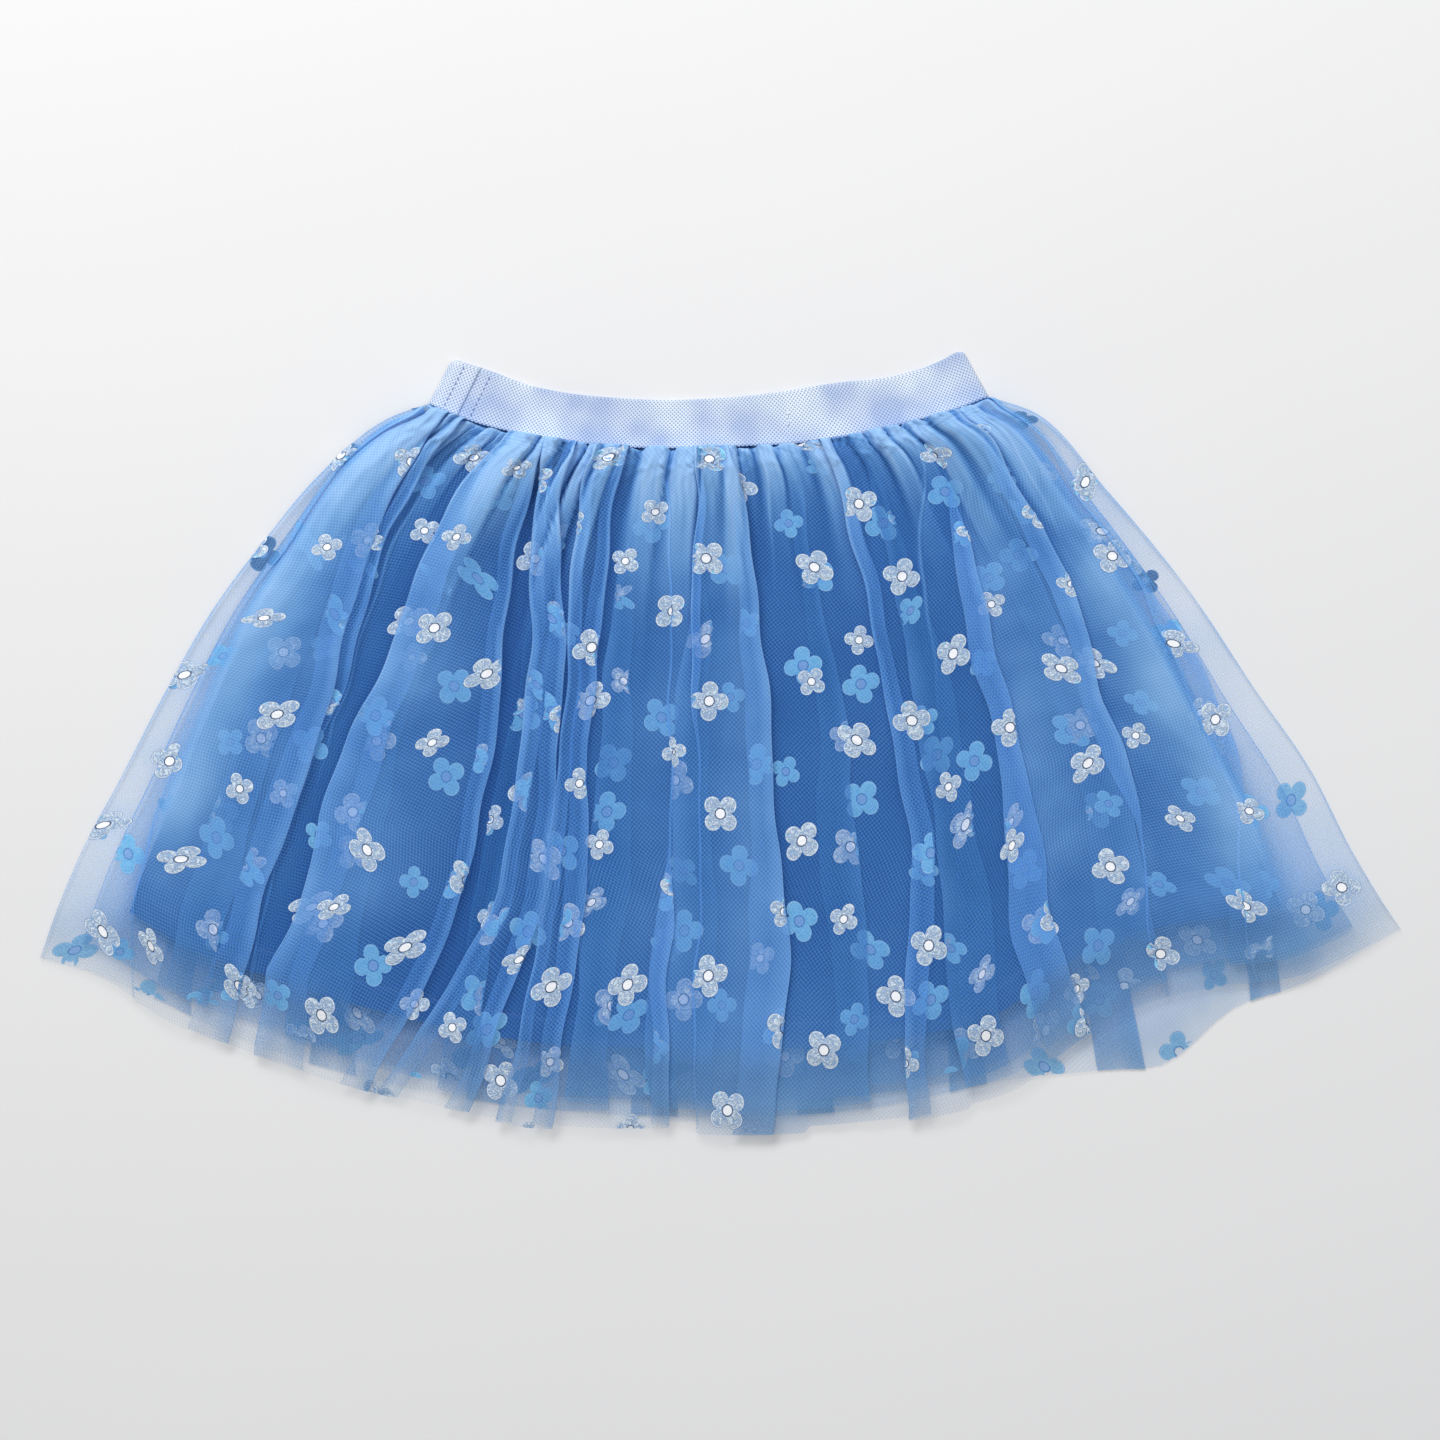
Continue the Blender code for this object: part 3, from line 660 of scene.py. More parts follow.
def lay_cloth(name, cloth, downs, build_front, build_back, hem_is_front):
    """A sheet that runs once round the skirt, with its flat coordinates and its density."""
    sections = [cloth_section(cloth, d, build_front, build_back) for d in downs]
    hem, *_, on_front = sections[-1].T
    columns = len(hem)
    off_centre = np.abs(hem - skirt_width(1) / 2)
    seam, centre = (int(np.argmin(off_centre + 1e6 * (on_front != side))) for side in (0, 1))
    centre = (centre - seam) % columns
    grid = np.zeros((len(downs), columns, 3))
    edge, crowd, beside = (np.zeros((len(downs), columns)) for _ in range(3))
    for r, (down, section) in enumerate(zip(downs, sections)):
        h, high, hem_step, edge[r], pile, on_front = np.roll(section, -seam, axis=0).T
        width = skirt_width(down)
        share = down + hem_step / SKIRT_LENGTH * max(down, 0.0) ** 4
        front = np.ones(columns, bool) if hem_is_front else on_front > 0.5
        grid[r, :, :2] = skirt_place(np.clip(h / width, 0, 1), share, front)
        grid[r, :, 2] = high
        crowd[r] = crowd_at_hem(pile, h / width, down)
        # Share of the veil's painted light, past the lining's sides
        beside[r] = fade(past_lining(h, width, down) / VEIL_SOFT)
    tall = fade((grid[:, :, 2] - OVERHANG_FROM) / OVERHANG_RISE)
    grid[:, :, 1] += OVERHANG * tall * np.exp(-((downs[:, None] - OVERHANG_AT) / OVERHANG_RUN) ** 2)
    ring, edge, crowd, beside = (np.concatenate([part, part[:, :1]], axis=1)
                                 for part in (grid, edge, crowd, beside))
    item = grid_mesh(name, ring * MM)
    steps = np.linalg.norm(np.diff(ring, axis=1) * (1.0, 1.0, FLAT_RISE), axis=2)
    along = np.concatenate([np.zeros((len(downs), 1)), np.cumsum(steps, axis=1)], axis=1)
    flat, size = ring_chart(along - along[:, centre:centre + 1], downs)
    write_chart(item, flat)
    # Share of the hem's painted shade, rising to 1 at the hem
    hem_shade = np.broadcast_to(fade((downs - LOW_FROM) / LOW_RUN)[:, None], edge.shape)
    gathered = np.broadcast_to(1 - fade((downs - GATHERED_TO) / GATHERED_RUN)[:, None], edge.shape)
    for label, values in (("dense", net_density(ring, edge, crowd)), ("hem_shade", hem_shade), ("beside", beside),
                          ("gathered", gathered)):
        write_values(item.data, label, values)
    return item, size


print("helpers for cloth are ready")

# %% [markdown]
# Helpers for materials
#
# Every colour is written as the sRGB hex value that the eye sees and turned to linear light once.
# One function adds any node with its settings and links, for shaders and for geometry alike.

# %% Colours and nodes
def linear(hex_colour):
    """An sRGB hex colour as linear red, green, blue and alpha."""
    values = [int(hex_colour[i:i + 2], 16) / 255 for i in (1, 3, 5)]
    return tuple(v / 12.92 if v <= 0.04045 else ((v + 0.055) / 1.055) ** 2.4 for v in values) + (1.0,)


def add(tree, kind, inputs=(), **settings):
    """Add one node with its settings. Its inputs come in order or by name, as values, sockets or nodes.
    A map range takes its value, from min, from max, to min and to max, in this order."""
    node = tree.nodes.new(kind)
    for name, value in settings.items():
        setattr(node, name, value)
    for key, value in inputs.items() if isinstance(inputs, dict) else enumerate(inputs):
        if isinstance(value, bpy.types.Node):
            value = next(socket for socket in value.outputs if socket.enabled)
        if isinstance(value, bpy.types.NodeSocket):
            tree.links.new(value, node.inputs[key])
        else:
            node.inputs[key].default_value = value
    return node


def new_material(name):
    """An empty material and its tree."""
    material = bpy.data.materials.new(name)
    material.use_nodes = True
    material.node_tree.nodes.clear()
    return material, material.node_tree


def lattice(tree, vector, wide, tall):
    """Staggered rows of soft dots over flat cloth coordinates, rows so far apart: -1 to 1."""
    parts = add(tree, "ShaderNodeSeparateXYZ", [vector])
    waves = []
    for axis, spacing in enumerate((wide, tall)):
        turns = add(tree, "ShaderNodeMath", [parts.outputs[axis], math.pi / spacing],
                    operation="MULTIPLY")
        waves.append(add(tree, "ShaderNodeMath", [turns], operation="COSINE"))
    return add(tree, "ShaderNodeMath", [waves[0], waves[1]], operation="MULTIPLY")


print("colour check:", [round(v, 3) for v in linear("#4C86D2")])

# %% [markdown]
# Nylon tulle
#
# Tulle is a knitted net of fine nylon thread, mostly holes. The eye sees the cloth below through a
# haze of lighter blue, and the haze thickens wherever net lies on net or turns over a fold. So the
# material is a matte thread colour with a low alpha. Crossing waves give the mesh, 1.3 mm from hole
# to hole, a little coarser than the real one so that it shows. The "dense" attribute thickens it.

# %% The net's material
# Distance between the crossing waves
NET_CELL = 0.92 * MM
# Share of the cloth that its threads cover, and how clearly the mesh shows in that
NET_COVER = {"outer": 0.18, "under": 0.19}
MESH_SWING = {"outer": 0.95, "under": 0.6}
# Colours of the thread: as it lies single, crowded and piled up (partly painted light), beside the lining
# (painted light from the table behind it), and at the hem (painted shade)
NET_COLOURS = {"outer": ("#68AEFC", "#8CC6FF", "#A6D2FF", "#82C4FF", "#84B4E0"),
               "under": ("#468ED8", "#74B2F2", "#8CC4FC", "#7ABEFF", "#6CA4D6")}
# Crowding at which the crowded and the piled colours are full; the lighter piled colour is partly painted
# light
CROWDED, PILED = 4.5, 9.0
# The net is never even. Where it is gathered it lies in streaks down the cloth: so many in a radian of
# the ring and in a metre down. Elsewhere it has soft clouds, so many in a metre.
STREAKS, MIST = (70.0, 9.0, 0.0), 26.0
# The part of the noise that counts, and how thin and how crowded it makes the net
NOISE_PART, UNEVEN = (0.32, 0.68), (0.72, 1.34)
# How much darker the gaps between the threads are, and how clear the mesh stays where the net is thin
GAP_SHADE, GAP_TINT, LEAST_MESH = 0.34, "#95AAC4", 0.6


def tulle_material(kind):
    material, tree = new_material("nylon_tulle_" + kind)
    cover_share = NET_COVER[kind]
    thin, crowded, piled, beside, hem_shade, tint = map(linear, (*NET_COLOURS[kind], GAP_TINT))
    chart = add(tree, "ShaderNodeUVMap", uv_map="cloth")
    mesh = lattice(tree, chart, NET_CELL, NET_CELL)
    laid = add(tree, "ShaderNodeAttribute", attribute_name="dense").outputs["Fac"]
    parts = add(tree, "ShaderNodeSeparateXYZ", [chart]).outputs
    ahead = add(tree, "ShaderNodeMath", [parts[1], -1.0], operation="MULTIPLY")
    turned = add(tree, "ShaderNodeMath", [parts[0], ahead], operation="ARCTAN2")
    reach = add(tree, "ShaderNodeVectorMath", [chart], operation="LENGTH")
    radial = add(tree, "ShaderNodeCombineXYZ", {"X": turned, "Y": reach})
    drawn = add(tree, "ShaderNodeVectorMath", [radial, STREAKS], operation="MULTIPLY")
    cloud = add(tree, "ShaderNodeTexNoise", {"Vector": drawn, "Scale": 1.0, "Detail": 3.0})
    mist = add(tree, "ShaderNodeTexNoise", {"Vector": chart, "Scale": MIST, "Detail": 2.0})
    gathered = add(tree, "ShaderNodeAttribute", attribute_name="gathered").outputs["Fac"]
    uneven = add(tree, "ShaderNodeMix", {"Factor": gathered, 2: mist, 3: cloud})
    spread = add(tree, "ShaderNodeMapRange", [uneven, *NOISE_PART, *UNEVEN])
    dense = add(tree, "ShaderNodeMath", [laid, spread], operation="MULTIPLY")
    at_least = add(tree, "ShaderNodeMath", [dense, LEAST_MESH], operation="MAXIMUM")
    at_most_one = add(tree, "ShaderNodeMath", [at_least, 1.0], operation="MINIMUM")
    seen = add(tree, "ShaderNodeMath", [mesh, at_most_one], operation="MULTIPLY")
    swing = -MESH_SWING[kind] * cover_share / (1 - cover_share)
    holes = add(tree, "ShaderNodeMath", [seen, swing, 1.0], operation="MULTIPLY_ADD")
    through = add(tree, "ShaderNodeMath", [1 - cover_share, dense], operation="POWER")
    left = add(tree, "ShaderNodeMath", [through, holes], operation="MULTIPLY")
    alpha = add(tree, "ShaderNodeMath", [1.0, left], operation="SUBTRACT", use_clamp=True)
    shares = [add(tree, "ShaderNodeMapRange", [dense, start, end])
              for start, end in ((1.0, CROWDED), (CROWDED, PILED))]
    shares += [add(tree, "ShaderNodeAttribute", attribute_name=label).outputs["Fac"]
               for label in ("beside", "hem_shade")]
    # Mixes in the crowded and piled colours, the veil's painted light and the hem's painted shade
    shade = thin
    for share, colour in zip(shares, (crowded, piled, beside, hem_shade)):
        shade = add(tree, "ShaderNodeMix", {"Factor": share, 6: shade, 7: colour}, data_type="RGBA")
    gap = add(tree, "ShaderNodeMapRange", [mesh, -1.0, 1.0, GAP_SHADE, 0.0])
    shade = add(tree, "ShaderNodeMix", {"Factor": gap, 6: shade, 7: tint}, data_type="RGBA",
                blend_type="MULTIPLY")
    shader = add(tree, "ShaderNodeBsdfPrincipled", {
        "Base Color": shade, "Alpha": alpha, "Roughness": 0.6, "Specular IOR Level": 0.15})
    add(tree, "ShaderNodeOutputMaterial", [shader])
    return material


outer_material, under_material = tulle_material("outer"), tulle_material("under")
print("net covers", NET_COVER)

# %% [markdown]
# Lining
#
# The lining is plain woven polyester, opaque and deep blue, with a narrow turned hem held by one
# line of stitches. It is a thin sheet too, with soft wrinkles and a slightly thicker hem.

# %% The lining's cloth
# Depth of the turned hem, how much thicker it is, and height of the soft wrinkles, in mm
LINING_HEM, HEM_THICK, WRINKLE = 10.0, 0.6, 0.35
LINING_BLUES = ("#194A8E", "#21559C")
WEAVE_CELL = 0.64 * MM
STITCH_SHARE = CLOTH_ENDS["lining"][0] - LINING_HEM / SKIRT_LENGTH


def lining_material():
    material, tree = new_material("woven_polyester_lining")
    chart = add(tree, "ShaderNodeUVMap", uv_map="cloth")
    weave = lattice(tree, chart, WEAVE_CELL, WEAVE_CELL)
    cloud = add(tree, "ShaderNodeTexNoise", {"Vector": chart, "Scale": 9.0, "Detail": 3.0})
    deep, light = map(linear, LINING_BLUES)
    base = add(tree, "ShaderNodeMix", {"Factor": cloud, 6: deep, 7: light}, data_type="RGBA")
    bump = add(tree, "ShaderNodeBump", {"Height": weave, "Strength": 0.08, "Distance": 0.1 * MM})
    shader = add(tree, "ShaderNodeBsdfPrincipled", {
        "Base Color": base, "Roughness": 0.55, "Specular IOR Level": 0.2, "Normal": bump})
    add(tree, "ShaderNodeOutputMaterial", [shader])
    return material


def lining_front(width, down, start, end):
    line = flat_line(start, end, 260, 1.0)
    across = line[:, 0] / width
    line[:, 1] = WRINKLE * ripple(across + 0.02 * down, 21, 9.0)
    line[:, 1] += HEM_THICK * fade((down - STITCH_SHARE) * SKIRT_LENGTH)
    line[:, 1] *= off_ends(across, 0.05)
    return line


def lining_back(width, down, start, end):
    return flat_line(start, end, 80, 1.0)


turned_hem = STITCH_SHARE + np.array([0.0, 0.5, 1.0, 3.0, 6.0, LINING_HEM]) / SKIRT_LENGTH
lining_rows = np.concatenate([rows_down(STITCH_SHARE - 1.0 / SKIRT_LENGTH, 14, 56), turned_hem])
lining, lining_size = lay_cloth("lining_sheet", "lining", lining_rows, lining_front, lining_back, True)
lining.data.materials.append(lining_material())
print("lining faces:", len(lining.data.polygons))

# %% [markdown]
# The two nets
#
# The net below lies nearly flat. The outer one has soft waves all over, and where it comes out of the
# seam it is crinkled: short creases that start and end between the gathers.

# %% The two nets
# Height of the crinkles in mm, and the share of the way down over which they die away
CRINKLE, CRINKLE_RUN = 1.4, 0.13
# Height of the outer net's soft waves, and of its panels' crowns at shares of the way down, in mm
SOFT_WAVE = 0.35
CROWN_SHARES, CROWN_HEIGHTS = (0.0, 0.03, 0.10, 0.30, 0.60, 1.0), (0.9, 1.8, 2.6, 2.0, 1.4, 0.8)
# From which share of the way down the net below is more crowded, and by how much
UNDER_HEM_FROM, UNDER_HEM_MORE = 0.87, 1.8


def crinkles(across, down):
    """Short uneven creases just below the seam."""
    below = max(down, 0.0)
    long_way = ripple(across + 0.012 * ripple(below, 34, 14.0), 33, 23.0)
    cut_short = 0.5 + 0.5 * ripple(below + 0.35 * across, 35, 9.0)
    return CRINKLE * long_way * cut_short * fade(below / 0.02) * (1 - fade(below / CRINKLE_RUN))


def outer_front(width, down, start, end):
    crown = float(np.interp(max(down, 0.0), CROWN_SHARES, CROWN_HEIGHTS))
    step = mix(1.9, 0.6, fade(down / 0.9))
    line = folded_line(OUTER_FOLDS, SIDE_CROWD["outer"], width, down, start, end, step, crown, 17, 100)
    across = line[:, 0] / width
    calm = off_ends(across, 0.04) * (1 - np.clip(line[:, 3], 0, 1))
    soft = SOFT_WAVE * ripple(across + 0.015 * ripple(max(down, 0), 31, 1.0), 32, 23.0)
    line[:, 1] += calm * (soft + crinkles(across, down))
    return line


def outer_back(width, down, start, end):
    return folded_line(BACK_FOLDS, SIDE_CROWD["back"], width, down, start, end, 0.22, 0.3, 5, 300)


def more_at_hem(line, width, down):
    """The net below hangs in closer folds past the lining, except at the right."""
    left_part = 1 - fade((line[:, 0] / width - 0.70) / 0.06)
    line[:, 4] *= 1 + UNDER_HEM_MORE * fade((down - UNDER_HEM_FROM) / 0.03) * left_part
    return line


def under_front(width, down, start, end):
    line = folded_line(UNDER_FOLDS, SIDE_CROWD["under"], width, down, start, end, 0.40, 0.3, 20, 500)
    return more_at_hem(line, width, down)


def under_back(width, down, start, end):
    return more_at_hem(flat_line(start, end, 90, 1.3), width, down)


outer_rows = rows_down(1.0, 24, 60)
outer_net, outer_size = lay_cloth("outer_net", "outer_net", outer_rows, outer_front, outer_back, False)
outer_net.data.materials.append(outer_material)
under_rows = rows_down(CLOTH_ENDS["under_net"][0], 16, 60)
under_net, under_size = lay_cloth("under_net", "under_net", under_rows, under_front, under_back, True)
under_net.data.materials.append(under_material)
for item, size in ((outer_net, outer_size), (under_net, under_size)):
    print(item.name, "faces", len(item.data.polygons), f"hem {size['girth']:.2f} m round")

# %% [markdown]
# Film flowers
#
# The flowers are cut from thin film and welded to the net: four round petals, a white dot in the
# middle ringed by a fine painted shadow, silvery on the front and clear blue behind. Where the net turns
# over
# in a fold, or where a flower lies under another net, the eye meets the blue. One flower is modelled
# flat. Geometry Nodes set it on a small charted repeat, realize the copies and lay every point on
# the folded net by its flat coordinates, so the flowers bend and fold with the cloth.

# %% One flower
# Shares of the flower's radius: where the petals are centred and how round they are, where the middle
# of the faces lies, and the sizes of the ring of painted shadow round the dot and of the dot
PETAL_REACH, PETAL_RADIUS = 0.575, 0.425
MIDDLE, RING_RADIUS, DOT_RADIUS = 0.66, 0.30, 0.235
PETAL_POINTS = 10
# Thickness of the film, and the share of it where its cut edge lies
FILM, RIM_HEIGHT = 0.30 * MM, 0.45
FLOWER_SIZES = {"large": 8.2 * MM, "small": 6.3 * MM}
FRONT, RING, DOT, BACK, BACK_RING, BACK_DOT, SHADED, SHADED_HIGH = range(8)


def petal_outline(angle):
    """Distance from the flower's centre to its edge, for a radius of 1."""
    a = (angle + math.pi / 4) % (math.pi / 2) - math.pi / 4
    return PETAL_REACH * math.cos(a) + math.sqrt(PETAL_RADIUS ** 2 - (PETAL_REACH * math.sin(a)) ** 2)


def flower_mesh():
    """A flat closed flower of radius 1, whose faces know which part of it they are."""
    shape = bmesh.new()
    part = shape.faces.layers.int.new("part")

    def ring(radii, z):
        turns = [2 * math.pi * i / len(radii) for i in range(len(radii))]
        return [shape.verts.new((r * math.cos(a), r * math.sin(a), z)) for r, a in zip(radii, turns)]

    def band(outer, inner, kind):
        """Faces between a ring and the next one in, which has as many points or half as many."""
        double = len(outer) // len(inner)
        for i in range(len(inner)):
            k = (i + 1) % len(inner)
            if double == 2:
                a, b, c = outer[2 * i], outer[2 * i + 1], outer[(2 * i + 2) % len(outer)]
                faces.append(((inner[i], a, b), kind))
                faces.append(((inner[i], b, c, inner[k]), kind))
            else:
                faces.append(((inner[i], outer[i], outer[k], inner[k]), kind))

    faces = []
    points = 4 * PETAL_POINTS
    outline = ring([petal_outline(2 * math.pi * i / points) for i in range(points)], RIM_HEIGHT)
    middle = [MIDDLE * petal_outline(4 * math.pi * i / points) for i in range(points // 2)]
    circles = [[radius] * (points // 4) for radius in (RING_RADIUS, DOT_RADIUS)]
    for z, film, film_ring, film_dot in ((1.0, FRONT, RING, DOT), (0.0, BACK, BACK_RING, BACK_DOT)):
        above = len(faces)
        inner, dark_ring, dot = (ring(radii, z) for radii in (middle, *circles))
        band(outline, inner, film)
        band(inner, dark_ring, film)
        band(dark_ring, dot, film_ring)
        faces.append((dot, film_dot))
    for number, (corners, kind) in enumerate(faces):
        shape.faces.new(corners if number < above else corners[::-1])[part] = kind
    mesh = bpy.data.meshes.new("flower")
    shape.to_mesh(mesh)
    shape.free()
    write_values(mesh, "rim", [abs(v.co.z - RIM_HEIGHT) < 0.05 for v in mesh.vertices])
    return mesh


flower = bpy.data.objects.new("flower", flower_mesh())
print("one flower:", len(flower.data.polygons), "faces")

# %% [markdown]
# Film, silvery in front and blue behind
#
# The film is crumpled by the welding, so its silver is broken up by fine wrinkles. That is a bump
# from stretched noise a millimetre or two wide. The back is the film's clear blue glue side.

# %% The film's materials
# Scale of the noise that crumples the film, in waves a metre, and how wide its creases are in it
CRUMPLE, CREASE_WIDE = 620.0, 0.10
# Where the painted highlight line and the painted shadow outline at the edge begin and are full:
# shares of the way out to the rim
HIGHLIGHT_LINE, SHADOW_LINE = (0.72, 0.84), (0.91, 0.96)
# Colour of the painted shadow that outlines each flower, as if it cast a thin shadow on the net
SHADOW_OUTLINE = "#5C80B4"


def film_material(name, dark, light, rim, wrinkle):
    """Crumpled film: light creases on a darker ground, a painted highlight line inside the edge, and a
    painted shadow outline at the edge.
    """
    material, tree = new_material(name)
    spot = add(tree, "ShaderNodeTexCoord").outputs["Object"]
    noise = add(tree, "ShaderNodeTexNoise", {"Vector": spot, "Scale": CRUMPLE, "Detail": 2.5,
                                             "Distortion": 1.2})
    off = add(tree, "ShaderNodeMath", [noise, 0.5], operation="SUBTRACT")
    from_crease = add(tree, "ShaderNodeMath", [off], operation="ABSOLUTE")
    crease = add(tree, "ShaderNodeMapRange", [from_crease, CREASE_WIDE, 0.0])
    shade = add(tree, "ShaderNodeMix", {"Factor": crease, 6: linear(dark), 7: linear(light)},
                data_type="RGBA")
    edge = add(tree, "ShaderNodeAttribute", attribute_name="rim").outputs["Fac"]
    # Near the rim a painted highlight line, then at the very edge a painted shadow outline
    for (start, end), colour in ((HIGHLIGHT_LINE, rim), (SHADOW_LINE, SHADOW_OUTLINE)):
        share = add(tree, "ShaderNodeMapRange", [edge, start, end])
        shade = add(tree, "ShaderNodeMix", {"Factor": share, 6: shade, 7: linear(colour)},
                    data_type="RGBA")
    bump = add(tree, "ShaderNodeBump", {"Height": crease, "Strength": wrinkle, "Distance": 0.3 * MM})
    shader = add(tree, "ShaderNodeBsdfPrincipled", {
        "Base Color": shade, "Roughness": 0.45, "Specular IOR Level": 0.3, "Normal": bump})
    add(tree, "ShaderNodeOutputMaterial", [shader])
    return material


# Name, darker and lighter colour, the painted highlight line's colour, and depth of the creases
film_materials = [film_material(*row) for row in (
    ("silvered_film", "#94B2D8", "#EAF7FF", "#E6F3FE", 0.8),
    ("film_ring_shadow", "#42587A", "#54698A", "#54698A", 0.2),
    ("white_film_dot", "#F2F5FA", "#FFFFFF", "#FFFFFF", 0.2),
    ("blue_film_back", "#7AC2E6", "#96D4F0", "#AAE0F8", 0.15),
    # The ring round the dot is painted shadow, behind as in front
    ("film_ring_shadow_back", "#4C7FB8", "#5C90C4", "#5C90C4", 0.15),
    ("dim_film_dot_back", "#88AEDC", "#9ABCE6", "#9ABCE6", 0.2),
    # Darker copies of the film's back: painted shade for flowers on the cloths' backs, low above the table
    ("shaded_film_back", "#80B4D6", "#98C8E4", "#A8D4EC", 0.15),
    ("shaded_dark_film_back", "#40608F", "#54769F", "#6A8AB0", 0.15),
)]
print("film materials:", [m.name for m in film_materials])

# %% [markdown]
# Laying the flowers on the net
#
# The repeat is charted: eight flowers in a block of cloth 110 mm square, shifted by half in
# every second column. A little seeded scatter keeps the rows from showing. The tree instances the
# flower on the chart's points, realizes it, cuts off what would hang past the hem, and reads the
# folded net's place and normal at each point's flat coordinates.

# %% The chart of flowers
# Side of the repeat, and how far a flower strays from its place in it
CHART_BLOCK, CHART_STRAY = 110.0 * MM, 6 * MM
# Flowers below the first height get a painted shade, and those past the second place up the skirt a
# darker painted shade too
LOWEST_CLOTH, DARK_BACKS_FROM = 2.5 * MM, 62.0 * MM
FLOWER_CHART = (
    # across, down, size: shares of the block
    (0.10, 0.08, "large"),
    (0.58, 0.02, "small"),
    (0.36, 0.28, "large"),
    (0.84, 0.24, "large"),
    (0.08, 0.50, "small"),
    (0.60, 0.52, "large"),
    (0.34, 0.74, "large"),
    (0.86, 0.78, "small"),
)


def charted_points(name, size, seed):
    """A mesh of points in the cloth's flat coordinates, with each flower's size and turn."""
    dice = np.random.default_rng(seed)
    blocks = int(math.ceil(size["hem"] / CHART_BLOCK)) + 1
    shift = dice.random(2)
    rows = []
    for column in range(-blocks, blocks):
        for block in range(-blocks, blocks):
            for across, down, kind in FLOWER_CHART:
                stray = dice.uniform(-CHART_STRAY, CHART_STRAY, 2)
                turn = dice.uniform(0, math.pi / 2)
                x = (column + across + shift[0]) * CHART_BLOCK + stray[0]
                y = (block + down + shift[1] + 0.5 * (column % 2)) * CHART_BLOCK + stray[1]
                radius = FLOWER_SIZES[kind]
                from_centre = math.hypot(x, y)
                from_seam = size["angle"] / 2 - abs(math.atan2(x, -y))
                on_cloth = size["waist"] + 0.3 * radius < from_centre < size["hem"] + 0.7 * radius
                if on_cloth and from_seam * from_centre > 1.2 * radius:
                    rows.append((x, y, radius, turn))
    x, y, radius, turn = zip(*rows)
    return point_cloud(name, zip(x, y, np.zeros(len(x))), radius=radius, turn=turn)


print(len(FLOWER_CHART), "flowers in a block of the chart")

# %% The tree that lays the flowers
def new_tree(name, sockets):
    """A Geometry Nodes tree with named inputs, and the sockets that give their values."""
    tree = bpy.data.node_groups.new(name, "GeometryNodeTree")
    for label, kind in {"Geometry": "Geometry", **sockets}.items():
        tree.interface.new_socket(label, in_out="INPUT", socket_type="NodeSocket" + kind)
    tree.interface.new_socket("Geometry", in_out="OUTPUT", socket_type="NodeSocketGeometry")
    return tree, add(tree, "NodeGroupInput").outputs


